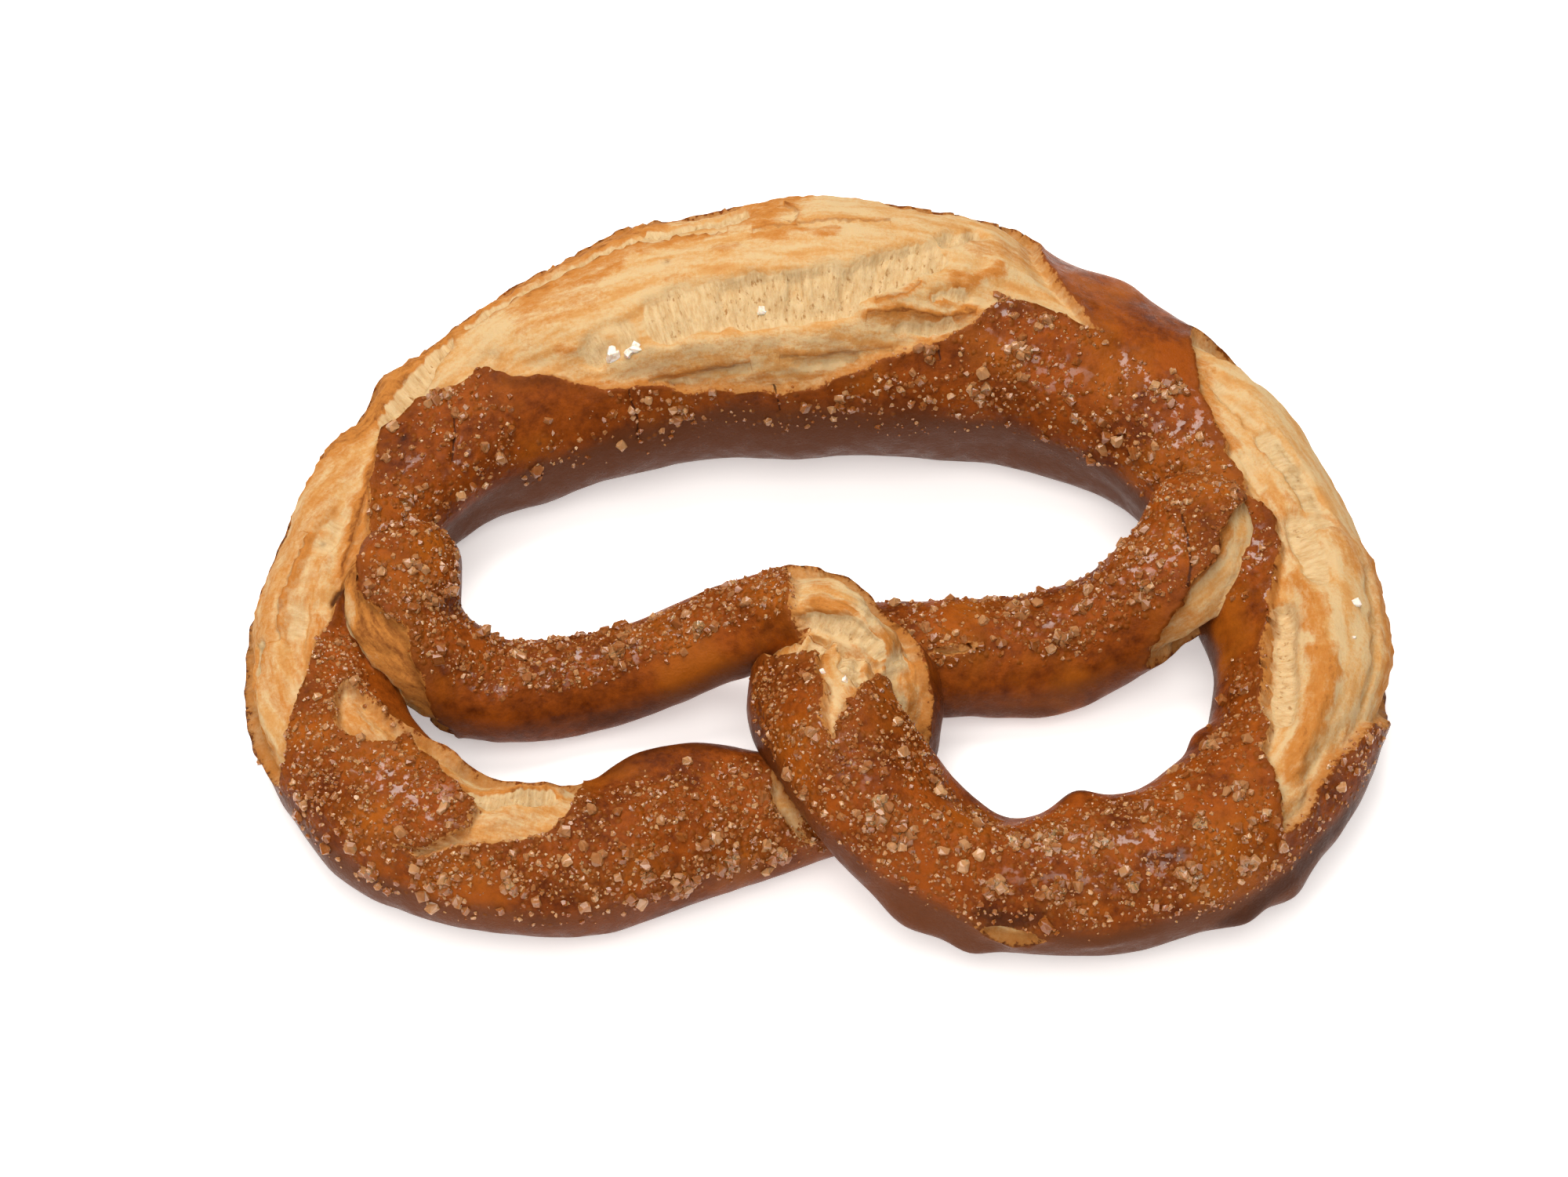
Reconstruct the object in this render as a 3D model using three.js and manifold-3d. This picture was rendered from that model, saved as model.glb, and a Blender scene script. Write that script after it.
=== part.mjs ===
// A baked soft pretzel: one rope of dough with slim arms and a fat belly, looped, twisted once
// fully and laid back on itself, its crust split open in places and sprinkled with coarse salt.
// Units are millimetres, +Z is up, the pretzel lies flat on Z = 0.
import * as THREE from 'three';
import { mergeVertices } from 'three/addons/utils/BufferGeometryUtils.js';
import Module from 'manifold-3d';

// The rope's route, from the tip of the left arm to the tip of the right arm.
// x and y: the middle of the rope; lift: its underside above the tray; width: across the rope
const ROUTE = [
  { x: -55.8, y: -1.5, lift: 14.0, width: 13.5 },
  { x: -55.0, y: -11.0, lift: 9.5, width: 15.3 },
  { x: -44.5, y: -16.5, lift: 1.5, width: 15.8 },
  { x: -27.5, y: -14.0, lift: 1.0, width: 15.4 },
  { x: -9.0, y: -10.0, lift: 7.0, width: 15.2 },
  { x: 6.5, y: -12.0, lift: 12.8, width: 15.2 },
  { x: 16.6, y: -21.0, lift: 7.8, width: 15.0 },
  { x: 11.0, y: -34.8, lift: 0.5, width: 15.0 },
  { x: -11.0, y: -42.5, lift: 0, width: 20.0 },
  { x: -32.0, y: -49.5, lift: 0, width: 22.5 },
  { x: -54.0, y: -43.5, lift: 0, width: 24.5 },
  { x: -67.5, y: -25.0, lift: 0, width: 23.0 },
  { x: -68.3, y: 0, lift: 0, width: 24.0 },
  { x: -53.0, y: 26.8, lift: 0, width: 29.6 },
  { x: -26.0, y: 44.6, lift: 0, width: 37.6 },
  { x: 7.5, y: 50.5, lift: 0, width: 44.5 },
  { x: 39.0, y: 43.8, lift: 0, width: 38.5 },
  { x: 65.0, y: 25.5, lift: 0, width: 30.0 },
  { x: 77.0, y: -5.0, lift: 0, width: 27.0 },
  { x: 74.3, y: -31.5, lift: 0, width: 25.0 },
  { x: 58.0, y: -48.8, lift: 0, width: 24.0 },
  { x: 35.0, y: -53.2, lift: 0.5, width: 21.4 },
  { x: 18.5, y: -47.2, lift: 5.0, width: 21.6 },
  { x: 9.0, y: -36.0, lift: 9.5, width: 21.4 },
  { x: 5.0, y: -23.0, lift: 6.5, width: 20.2 },
  { x: 10.5, y: -10.2, lift: 0.5, width: 17.6 },
  { x: 25.0, y: -10.8, lift: 0.5, width: 18.0 },
  { x: 42.5, y: -8.8, lift: 0.8, width: 18.5 },
  { x: 57.5, y: -2.0, lift: 8.0, width: 17.8 },
  { x: 64.0, y: 6.5, lift: 12.5, width: 17.0 },
];
// The middle of the whole outline, which becomes the origin
const MIDDLE_X = 4.6;
const MIDDLE_Y = 3.88;

// The rope's section: a thin rope is nearly round, a fat one sags, and all rest on a flat foot
const ROUND_HEIGHT = 0.94;
const SAG_PER_WIDTH = 0.0028;
const FOOT_SINK = 0.08;
const TIP_LENGTH = 0.46;
const RELIEF_RADIUS = 5;
const LUMP_HEIGHT = 0.35;
const LUMP_SHORT = 4.1;
const LUMP_LONG = 7.3;

// Where the rope is divided, so that no length of it crosses itself: lengths along the route
const FRONT_LEFT_JOIN = 146;
const FRONT_RIGHT_JOIN = 497;

// The splits in the crust, as outlines on the unrolled rope: millimetres along the route and
// degrees around it, from the loop's inner side (0) over the top (90) to its outer side (180)
const BELLY_SPLIT = [
  [193, 158], [198, 128], [205, 98], [215, 84], [233, 78], [246, 92], [256, 116], [265, 94],
  [276, 62], [286, 42], [303, 28], [318, 24], [328, 28], [340, 40], [350, 54], [355, 78],
  [368, 88], [361, 116], [355, 138], [346, 134], [334, 125], [310, 127], [301, 137],
  [276, 143], [259, 156], [246, 168], [233, 180], [215, 185], [205, 182], [198, 174],
];
const RIGHT_SPLIT = [
  [378, 126], [381, 116], [387, 93], [397, 80], [415, 88], [427, 71], [443, 62], [456, 84],
  [464, 137], [456, 142], [450, 160], [443, 182], [419, 182], [399, 162], [387, 150],
];
const FRONT_SPLIT = [
  [151, 36], [160, 33], [171, 44], [185, 34], [193, 54], [200, 86], [178, 68], [171, 80],
  [177, 132], [172, 134], [164, 116], [157, 92],
];
const TOP_TWIST_SPLIT = [
  [72, 150], [76, 76], [78, 24], [79, -30], [112, -30], [112, 150], [101, 146], [95, 128],
  [90, 135], [86, 150], [80, 160],
];
const UNDER_TWIST_SPLIT = [
  [551, 180], [547, 130], [544, 92], [538, 96], [531, 118], [533, 80], [541, 24], [545, -20],
  [565, -20], [565, 180],
];
const SPLITS = [BELLY_SPLIT, RIGHT_SPLIT, FRONT_SPLIT, TOP_TWIST_SPLIT, UNDER_TWIST_SPLIT];

// The relief of a split: a curled lip of crust, a step down to the crumb, and the crumb's swell
const LIP_RISE = 0.7;
const LIP_REACH = 1.6;
const STEP_DEPTH = 1.5;
const STEP_REACH = 0.9;
const SWELL_REACH = 9;
const SWELL_RISE = 1.2;

// Facets: rows along the rope and columns around it, which start underneath and are drawn
// to the two lips of a split, one column on the lip and the next at its foot
const ROW_SPACING = 3.95;
const COLUMNS = 26;
const FRONT_LIP_COLUMN = 10;
const BACK_LIP_COLUMN = 18;
const LIP_OUTSIDE = 0.5;
const LIP_INSIDE = 1.0;
const LEAST_HALF_ANGLE = 30;
const REST_SIDES = [55, 125];
const LIP_SMOOTHING = 7;
const UNDERSIDE = -90;
const TIP_ROWS = 4;
const TIP_ROW_STEPS = 4.6;
const CURVE_DIVISIONS = 2400;

// Coarse salt: the largest grains and clumps, on the crust that faces up
const SALT_COUNT = 80;
const SALT_SMALLEST = 1.6;
const SALT_LARGEST = 3.2;
const SALT_TILT = 0.9;
const SALT_GAP = 5.5;
const SALT_SINK = 0.45;
const SALT_CLEAR_OF_SPLIT = 2;
const SALT_CLEAR_OF_ROPE = 1.25;
const SALT_STEEPEST = 0.3;
const SALT_FROM = 20;
const SALT_TO = 160;
const SALT_SAME_LENGTH = 10;
const SALT_FRAMES = 160;
const SALT_TRIES = 6000;
const SALT_SEED = 20;

const UP = new THREE.Vector3(0, 0, 1);
const DEGREE = Math.PI / 180;

// The route

function sectionHeight(width) {
  return width * (ROUND_HEIGHT - SAG_PER_WIDTH * width);
}

function routePoint(station) {
  const half = sectionHeight(station.width) / 2;
  const z = half * (1 - FOOT_SINK) + station.lift;
  return new THREE.Vector3(station.x - MIDDLE_X, station.y - MIDDLE_Y, z);
}

const route = new THREE.CatmullRomCurve3(ROUTE.map(routePoint), false, 'catmullrom', 0.5);
route.arcLengthDivisions = CURVE_DIVISIONS;
const widths = new THREE.CatmullRomCurve3(
  ROUTE.map((station) => new THREE.Vector3(station.width, 0, 0)), false, 'catmullrom', 0.5,
);
const LENGTH = route.getLength();

// The rope's middle, directions and half sizes at a distance along it; past its ends it runs straight
function ropeFrame(along) {
  const inside = THREE.MathUtils.clamp(along, 0, LENGTH);
  const t = route.getUtoTmapping(0, inside);
  const ahead = route.getTangent(t);
  const side = ahead.clone().cross(UP).normalize();
  const rise = side.clone().cross(ahead);
  const width = widths.getPoint(t).x;
  const middle = route.getPoint(t).addScaledVector(ahead, along - inside);
  const tip = tipScale(along - inside, width);
  return {
    middle, ahead, side, rise, width,
    halfWidth: width / 2 * tip,
    halfHeight: sectionHeight(width) / 2 * tip,
  };
}

// The ends are rounded off over the length of a tip
function tipScale(past, width) {
  const reach = Math.abs(past) / (width * TIP_LENGTH);
  return Math.sqrt(Math.max(0, 1 - reach * reach));
}

// The splits

// Signed distance from a split's outline on the unrolled rope, positive inside it
function distanceInside(outline, along, around, radius) {
  let nearest = Infinity;
  let inside = false;
  const scale = radius * DEGREE;
  outline.forEach(([endAlong, endAround], index) => {
    const [startAlong, startAround] = outline[(index + outline.length - 1) % outline.length];
    const edge = new THREE.Vector2(endAlong - startAlong, (endAround - startAround) * scale);
    const here = new THREE.Vector2(along - startAlong, (around - startAround) * scale);
    const part = THREE.MathUtils.clamp(here.dot(edge) / edge.lengthSq(), 0, 1);
    nearest = Math.min(nearest, here.distanceTo(edge.clone().multiplyScalar(part)));
    const spans = (startAlong > along) !== (endAlong > along);
    if (spans && around < startAround + (endAround - startAround) * here.x / edge.x) inside = !inside;
  });
  return inside ? nearest : -nearest;
}

function splitDistance(along, around, radius) {
  return Math.max(...SPLITS.map((outline) => distanceInside(outline, along, around, radius)));
}

// Gentle lumps, from two waves that wind round the rope opposite ways
function unevenness(along, around) {
  const short = Math.sin(along / LUMP_SHORT + around * DEGREE * 2);
  const long = Math.sin(along / LUMP_LONG - around * DEGREE * 3);
  return LUMP_HEIGHT * (short + long) / 2;
}

// How far the surface stands out from the plain rope
function relief(along, around, radius) {
  const distance = splitDistance(along, around, radius);
  const lumps = unevenness(along, around);
  if (distance < 0) return lumps + LIP_RISE * Math.exp(distance / LIP_REACH);
  const step = THREE.MathUtils.smoothstep(distance, 0, STEP_REACH);
  const swell = THREE.MathUtils.smoothstep(distance, STEP_REACH, SWELL_REACH);
  return lumps + LIP_RISE * (1 - step) - STEP_DEPTH * step * (1 - swell) + SWELL_RISE * swell;
}

// Where the splits begin and end around the rope at a distance along it
function splitSides(along) {
  const crossings = [];
  for (const outline of SPLITS) {
    outline.forEach(([endAlong, endAround], index) => {
      const [startAlong, startAround] = outline[(index + outline.length - 1) % outline.length];
      if ((startAlong > along) !== (endAlong > along)) {
        const part = (along - startAlong) / (endAlong - startAlong);
        crossings.push(THREE.MathUtils.lerp(startAround, endAround, part));
      }
    });
  }
  return crossings.length ? [Math.min(...crossings), Math.max(...crossings)] : null;
}

// The angles of a split's two lips, or of the two places that the columns keep without one
function lipAngles(along) {
  const sides = splitSides(along) ?? REST_SIDES;
  const middle = (sides[0] + sides[1]) / 2;
  const half = Math.max((sides[1] - sides[0]) / 2, LEAST_HALF_ANGLE);
  return [middle - half, middle + half];
}

// The lips' angles, evened out along the rope so that no column swerves
function smoothLipAngles(along) {
  const mean = [0, 0];
  let total = 0;
  for (let offset = -LIP_SMOOTHING; offset <= LIP_SMOOTHING; offset += 1) {
    const weight = LIP_SMOOTHING + 1 - Math.abs(offset);
    const [front, back] = lipAngles(along + offset);
    mean[0] += front * weight;
    mean[1] += back * weight;
    total += weight;
  }
  return [mean[0] / total, mean[1] / total];
}

// Between its fixed places, a column's angle is even
function columnAngle(column, along, radius) {
  const [front, back] = smoothLipAngles(along);
  const lip = LIP_OUTSIDE / radius / DEGREE;
  const foot = LIP_INSIDE / radius / DEGREE;
  const knots = [
    [0, UNDERSIDE], [FRONT_LIP_COLUMN, front - lip], [FRONT_LIP_COLUMN + 1, front + foot],
    [BACK_LIP_COLUMN, back - foot], [BACK_LIP_COLUMN + 1, back + lip], [COLUMNS, UNDERSIDE + 360],
  ];
  const next = knots.findIndex(([place]) => place >= column && place > 0);
  const [fromPlace, fromAngle] = knots[next - 1];
  const [toPlace, toAngle] = knots[next];
  return THREE.MathUtils.mapLinear(column, fromPlace, toPlace, fromAngle, toAngle);
}

// The dough

function surfacePoint(along, around) {
  const frame = ropeFrame(along);
  const radius = (frame.halfWidth + frame.halfHeight) / 2;
  const tipFade = Math.min(1, radius / RELIEF_RADIUS);
  const out = relief(along, around, Math.max(radius, 1)) * tipFade;
  const angle = around * DEGREE;
  const point = frame.middle.clone();
  point.addScaledVector(frame.side, (frame.halfWidth + out) * Math.cos(angle));
  point.addScaledVector(frame.rise, (frame.halfHeight + out) * Math.sin(angle));
  point.z = Math.max(point.z, 0);
  return point;
}

// Distances along the rope at which a length of it has its rows of facets
function rowPlaces(from, to) {
  const places = [];
  const first = Math.max(from, 0);
  const last = Math.min(to, LENGTH);
  const rows = Math.round((last - first) / ROW_SPACING);
  for (let row = 0; row <= rows; row += 1) places.push(THREE.MathUtils.lerp(first, last, row / rows));
  for (let row = 1; row <= TIP_ROWS; row += 1) {
    const past = Math.sin(row / TIP_ROW_STEPS * Math.PI / 2) * TIP_LENGTH;
    if (from < 0) places.unshift(-past * ROUTE[0].width);
    if (to > LENGTH) places.push(LENGTH + past * ROUTE.at(-1).width);
  }
  return places;
}

// A closed cylinder, bent along the rope between two distances
function ropeLength(from, to) {
  const places = rowPlaces(from, to);
  const rows = places.length - 1;
  const geometry = new THREE.CylinderGeometry(1, 1, rows, COLUMNS, rows);
  const corner = new THREE.Vector3();
  const position = geometry.getAttribute('position');
  for (let index = 0; index < position.count; index += 1) {
    corner.fromBufferAttribute(position, index);
    const along = places[Math.round(corner.y + rows / 2)];
    const onEndMiddle = Math.hypot(corner.x, corner.z) < 0.5;
    if (onEndMiddle) {
      corner.copy(ropeFrame(along).middle);
    } else {
      const turn = -Math.atan2(corner.x, corner.z) / (2 * Math.PI);
      const column = Math.round((turn + 1) * COLUMNS) % COLUMNS;
      const { width } = ropeFrame(along);
      corner.copy(surfacePoint(along, columnAngle(column, along, width / 2)));
    }
    position.setXYZ(index, corner.x, corner.y, corner.z);
  }
  return geometry;
}

// Joining

const wasm = await Module();
wasm.setup();

function toSolid(geometry) {
  const bare = geometry.clone();
  bare.deleteAttribute('normal');
  bare.deleteAttribute('uv');
  const merged = mergeVertices(bare, 1e-5);
  return new wasm.Manifold(new wasm.Mesh({
    numProp: 3,
    vertProperties: new Float32Array(merged.getAttribute('position').array),
    triVerts: new Uint32Array(merged.getIndex().array),
  }));
}

function toGeometry(solid) {
  const mesh = solid.getMesh();
  const geometry = new THREE.BufferGeometry();
  geometry.setAttribute('position', new THREE.BufferAttribute(mesh.vertProperties, 3));
  geometry.setIndex(new THREE.BufferAttribute(mesh.triVerts, 1));
  geometry.computeVertexNormals();
  return geometry;
}

const dough = toSolid(ropeLength(-1, FRONT_LEFT_JOIN))
  .add(toSolid(ropeLength(FRONT_LEFT_JOIN, FRONT_RIGHT_JOIN)))
  .add(toSolid(ropeLength(FRONT_RIGHT_JOIN, LENGTH + 1)));

// The largest connected skin is the pretzel: hollows shut in at the crossings are filled
function filled(solid) {
  return solid.decompose().sort((a, b) => b.volume() - a.volume())[0];
}

// Salt

// The usual linear congruential draw, so that the grains fall the same way each time
function seededRandom(seed) {
  const multiplier = 1664525;
  const increment = 1013904223;
  const modulus = 2 ** 32;
  let state = seed;
  return () => {
    state = (state * multiplier + increment) % modulus;
    return state / modulus;
  };
}

const FRAMES = Array.from({ length: SALT_FRAMES + 1 }, (_, index) => {
  const along = LENGTH * index / SALT_FRAMES;
  return { along, ...ropeFrame(along) };
});

// Whether a point on the rope is free of the rope's other lengths
function isClear(point, along) {
  return FRAMES.every((frame) => {
    if (Math.abs(frame.along - along) < frame.width + SALT_SAME_LENGTH) return true;
    const offset = point.clone().sub(frame.middle);
    if (Math.abs(offset.dot(frame.ahead)) > frame.width / 2) return true;
    const across = offset.dot(frame.side) / frame.halfWidth;
    const above = offset.dot(frame.rise) / frame.halfHeight;
    return Math.hypot(across, above) > SALT_CLEAR_OF_ROPE;
  });
}

function outward(along, around) {
  const step = 0.5;
  const alongStep = surfacePoint(along + step, around).sub(surfacePoint(along - step, around));
  const aroundStep = surfacePoint(along, around + step).sub(surfacePoint(along, around - step));
  return alongStep.cross(aroundStep).normalize();
}

function saltPlaces(random) {
  const places = [];
  for (let tries = 0; tries < SALT_TRIES && places.length < SALT_COUNT; tries += 1) {
    const along = random() * LENGTH;
    const around = THREE.MathUtils.lerp(SALT_FROM, SALT_TO, random());
    const point = surfacePoint(along, around);
    const normal = outward(along, around);
    const { width } = ropeFrame(along);
    const free = splitDistance(along, around, width / 2) < -SALT_CLEAR_OF_SPLIT
      && normal.z > SALT_STEEPEST
      && places.every((other) => other.point.distanceTo(point) > SALT_GAP)
      && isClear(point, along);
    if (free) places.push({ point, normal });
  }
  return places;
}

function saltGrain({ point, normal }, random) {
  const [length, width, height] = [random(), random(), random()]
    .map((draw) => THREE.MathUtils.lerp(SALT_SMALLEST, SALT_LARGEST, draw));
  const grain = new THREE.BoxGeometry(length, width, height);
  grain.rotateX((random() - 0.5) * SALT_TILT);
  grain.rotateY((random() - 0.5) * SALT_TILT);
  grain.rotateZ(random() * Math.PI);
  grain.applyQuaternion(new THREE.Quaternion().setFromUnitVectors(UP, normal));
  const place = point.clone().addScaledVector(normal, height * (0.5 - SALT_SINK));
  grain.translate(place.x, place.y, place.z);
  return toSolid(grain);
}

const random = seededRandom(SALT_SEED);
const grains = saltPlaces(random).map((place) => saltGrain(place, random));
const salted = wasm.Manifold.union([filled(dough), ...grains]);

const crust = new THREE.MeshStandardMaterial({ color: 0x96541f, roughness: 0.45, metalness: 0 });
const pretzel = new THREE.Mesh(toGeometry(filled(salted)), crust);
pretzel.name = 'pretzel';

const group = new THREE.Group();
group.add(pretzel);

export default group;
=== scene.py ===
"""A baked soft pretzel: glossy brown crust, split open over pale crumb, with coarse salt."""

import itertools
import math
from collections import namedtuple

import bmesh
import bpy
import numpy as np
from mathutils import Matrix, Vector


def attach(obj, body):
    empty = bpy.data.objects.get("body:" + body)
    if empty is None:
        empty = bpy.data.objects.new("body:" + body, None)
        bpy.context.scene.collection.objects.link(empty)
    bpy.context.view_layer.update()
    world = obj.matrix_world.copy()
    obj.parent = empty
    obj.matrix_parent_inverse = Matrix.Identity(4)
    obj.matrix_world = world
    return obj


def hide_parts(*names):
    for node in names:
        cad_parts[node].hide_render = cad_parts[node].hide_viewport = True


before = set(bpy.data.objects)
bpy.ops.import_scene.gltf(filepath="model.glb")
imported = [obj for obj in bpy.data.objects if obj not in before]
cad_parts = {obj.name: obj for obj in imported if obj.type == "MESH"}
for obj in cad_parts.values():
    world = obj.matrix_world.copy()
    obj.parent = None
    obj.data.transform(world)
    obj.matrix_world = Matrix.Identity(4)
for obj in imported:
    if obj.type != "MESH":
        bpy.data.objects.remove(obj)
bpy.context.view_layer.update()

MM = 0.001
DEGREE = math.pi / 180
UP = np.array([0.0, 0.0, 1.0])

# The rope of dough, in millimetres, with the stations of the solid

# x, y, lift of the underside, width
ROUTE = np.array([
    (-55.8, -1.5, 14.0, 13.5), (-55.0, -11.0, 9.5, 15.3), (-44.5, -16.5, 1.5, 15.8),
    (-27.5, -14.0, 1.0, 15.4), (-9.0, -10.0, 7.0, 15.2), (6.5, -12.0, 12.8, 15.2),
    (16.6, -21.0, 7.8, 15.0), (11.0, -34.8, 0.5, 15.0), (-11.0, -42.5, 0, 20.0),
    (-32.0, -49.5, 0, 22.5), (-54.0, -43.5, 0, 24.5), (-67.5, -25.0, 0, 23.0),
    (-68.3, 0, 0, 24.0), (-53.0, 26.8, 0, 29.6), (-26.0, 44.6, 0, 37.6),
    (7.5, 50.5, 0, 44.5), (39.0, 43.8, 0, 38.5), (65.0, 25.5, 0, 30.0),
    (77.0, -5.0, 0, 27.0), (74.3, -31.5, 0, 25.0), (58.0, -48.8, 0, 24.0),
    (35.0, -53.2, 0.5, 21.4), (18.5, -47.2, 5.0, 21.6), (9.0, -36.0, 9.5, 21.4),
    (5.0, -23.0, 6.5, 20.2), (10.5, -10.2, 0.5, 17.6), (25.0, -10.8, 0.5, 18.0),
    (42.5, -8.8, 0.8, 18.5), (57.5, -2.0, 8.0, 17.8), (64.0, 6.5, 12.5, 17.0),
])
MIDDLE_X = 4.6
MIDDLE_Y = 3.88
ROUND_HEIGHT = 0.94
SAG_PER_WIDTH = 0.0028
FOOT_SINK = 0.08
TIP_LENGTH = 0.46
CURVE_DIVISIONS = 2400
FRONT_LEFT_JOIN = 146
FRONT_RIGHT_JOIN = 497
LEAST_RADIUS = 1
NUDGE = 1e-3

Rope = namedtuple("Rope", "middle side rise half_width half_height")


def section_height(width):
    return width * (ROUND_HEIGHT - SAG_PER_WIDTH * width)


def along_stations(values, place):
    """The smooth curve through the stations' values."""
    ends = np.concatenate([[2 * values[0] - values[1]], values, [2 * values[-1] - values[-2]]])
    index = np.clip(np.floor(place).astype(int), 0, len(values) - 2)
    part = (place - index).reshape((-1,) + (1,) * (values.ndim - 1))
    before, start, end, after = (ends[index + step] for step in range(4))
    cubic = 3 * start - before - 3 * end + after
    square = 2 * before - 5 * start + 4 * end - after
    return start + ((end - before) * part + square * part ** 2 + cubic * part ** 3) / 2


WIDTHS = ROUTE[:, 3]
STATIONS = np.column_stack([
    ROUTE[:, 0] - MIDDLE_X,
    ROUTE[:, 1] - MIDDLE_Y,
    section_height(WIDTHS) / 2 * (1 - FOOT_SINK) + ROUTE[:, 2],
])
LAST_STATION = len(ROUTE) - 1
PLACES = np.linspace(0, LAST_STATION, CURVE_DIVISIONS + 1)
STEPS = np.diff(along_stations(STATIONS, PLACES), axis=0)
DISTANCES = np.concatenate([[0], np.cumsum(np.linalg.norm(STEPS, axis=1))])
LENGTH = DISTANCES[-1]


def unit(vectors):
    return vectors / np.linalg.norm(vectors, axis=1, keepdims=True)


def rope_at(along):
    """The rope's middle, its directions and its half sizes at distances along it."""
    inside = np.clip(along, 0, LENGTH)
    place = np.interp(inside, DISTANCES, PLACES)
    after = along_stations(STATIONS, np.minimum(place + NUDGE, LAST_STATION))
    before = along_stations(STATIONS, np.maximum(place - NUDGE, 0))
    ahead = unit(after - before)
    side = unit(np.cross(ahead, UP))
    rise = np.cross(side, ahead)
    width = along_stations(WIDTHS, place)
    reach = np.abs(along - inside) / (width * TIP_LENGTH)
    tip = np.sqrt(np.maximum(0, 1 - reach ** 2))
    middle = along_stations(STATIONS, place) + ahead * (along - inside)[:, None]
    return Rope(middle, side, rise, width / 2 * tip, section_height(width) / 2 * tip)


def mean_radius(rope):
    return np.maximum((rope.half_width + rope.half_height) / 2, LEAST_RADIUS)


def place_on_rope(rope, around, out):
    """Points on the rope, standing out from it, and never below the table."""
    angle = (around * DEGREE)[:, None]
    points = rope.middle + (rope.half_width + out)[:, None] * np.cos(angle) * rope.side
    points = points + (rope.half_height + out)[:, None] * np.sin(angle) * rope.rise
    points[:, 2] = np.maximum(points[:, 2], 0)
    return points


def plain_rope(rope, around):
    """Points on the rope before it has any relief."""
    return place_on_rope(rope, around, np.zeros(len(around)))


# Smooth random values, the same on each run

NOISE_TABLE = 256
NOISE_GAIN = 1.6


def soft_noise(points, size, seed):
    """Random values from about -1 to 1 that change over `size` millimetres."""
    draw = np.random.default_rng(seed)
    table = draw.permutation(NOISE_TABLE)
    slopes = unit(draw.normal(size=(NOISE_TABLE, 3)))
    cell = points / size
    corner = np.floor(cell).astype(int)
    part = cell - corner
    fade = part ** 3 * (part * (part * 6 - 15) + 10)
    total = np.zeros(len(points))
    for step in itertools.product((0, 1), repeat=3):
        index = 0
        weight = 1
        for axis in range(3):
            index = table[(index + corner[:, axis] + step[axis]) % NOISE_TABLE]
            weight = weight * (fade[:, axis] if step[axis] else 1 - fade[:, axis])
        total += weight * ((part - step) * slopes[index]).sum(axis=1)
    return total * NOISE_GAIN


def layered(plain, layers):
    """The sum of several noises, each with its size, height and seed."""
    return sum(soft_noise(plain, size, seed) * height for size, height, seed in layers)


def smoothstep(value, low, high):
    part = np.clip((value - low) / (high - low), 0, 1)
    return part * part * (3 - 2 * part)


# What the baking did, on the unrolled rope: millimetres along the route and degrees around it,
# from the loop's inner side (0) over the top (90) to its outer side (180)

BELLY_SPLIT = [
    (194, 156), (197, 140), (200, 124), (204, 106), (209, 95), (214, 89), (218, 81), (221, 76),
    (228, 73), (233, 69), (238, 80), (243, 90), (248, 98), (253, 112), (255, 106), (260, 106),
    (263, 98), (265, 92), (269, 91), (271, 82), (275, 69), (280, 57), (285, 47), (290, 41),
    (300, 31), (310, 27), (318, 24), (326, 27), (333, 33), (340, 43), (346, 52), (351, 64),
    (354, 79), (358, 84), (364, 86), (370, 88), (366, 97), (361, 108), (358, 117), (356, 130),
    (355, 144), (350, 152), (335, 149), (318, 145), (300, 148), (285, 152), (265, 158), (250, 167),
    (235, 177), (222, 183), (212, 184), (205, 180), (198, 172),
]
RIGHT_SPLIT = [
    (379, 134), (380, 122), (383, 112), (388, 96), (394, 88), (400, 83), (408, 80), (412, 84),
    (415, 89), (418, 86), (422, 78), (427, 71), (433, 66), (440, 62), (446, 62), (451, 69),
    (456, 77), (460, 90), (463, 105), (465, 122), (467, 136), (462, 141), (458, 132), (454, 131),
    (450, 140), (447, 150), (445, 166), (442, 186), (436, 198), (420, 202), (408, 200), (397, 188),
    (388, 170), (382, 150),
]
FRONT_SPLIT = [
    (151, 24), (153, 50), (156, 75), (159, 95), (162, 108), (166, 113), (169, 117), (172, 127),
    (175, 136), (179, 138), (176, 130), (173, 119), (171, 104), (170, 88), (173, 80), (177, 72),
    (181, 64), (185, 59), (187, 53), (188, 62), (188, 76), (190, 86), (193, 94), (195, 97),
    (198, 93), (201, 86), (204, 79), (199, 66), (194, 56), (190, 44), (184, 34), (176, 26), (164, 20),
]
TOP_TWIST_SPLIT = [
    (72, 150), (73, 138), (75, 108), (76, 76), (77, 48), (78, 24), (79, -30), (112, -30),
    (112, 150), (101, 146), (97, 131), (93, 120), (89, 140), (86, 160), (80, 166),
]
UNDER_TWIST_SPLIT = [
    (552, 180), (549, 150), (547, 130), (546, 112), (544, 90), (540, 93), (535, 104), (531, 120),
    (533, 95), (535, 72), (538, 48), (541, 24), (545, -20), (565, -20), (565, 180),
]
CROSSING_SPLIT = [(122, 156), (123, 130), (124, 104), (126, 82), (127, 88), (127, 112), (125, 138)]
LEFT_KNOB_SPLIT = [
    (-8, -60), (-8, 22), (-4, 36), (2, 42), (6, 46), (8, 62), (10, 63), (13, 54), (15, 40), (17, 26),
    (20, 8), (23, -10), (24, -40), (12, -62),
]
RIGHT_KNOB_SPLIT = [
    (634, 36), (630, 53), (625, 57), (620, 53), (615, 45), (611, 32), (607, 16), (606, 0), (607, -20),
    (611, -36), (620, -50), (632, -50),
]
ARM_TEAR = [(577, 57), (577.5, 66), (579, 71), (582.5, 72), (581, 66), (579, 60)]
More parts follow.
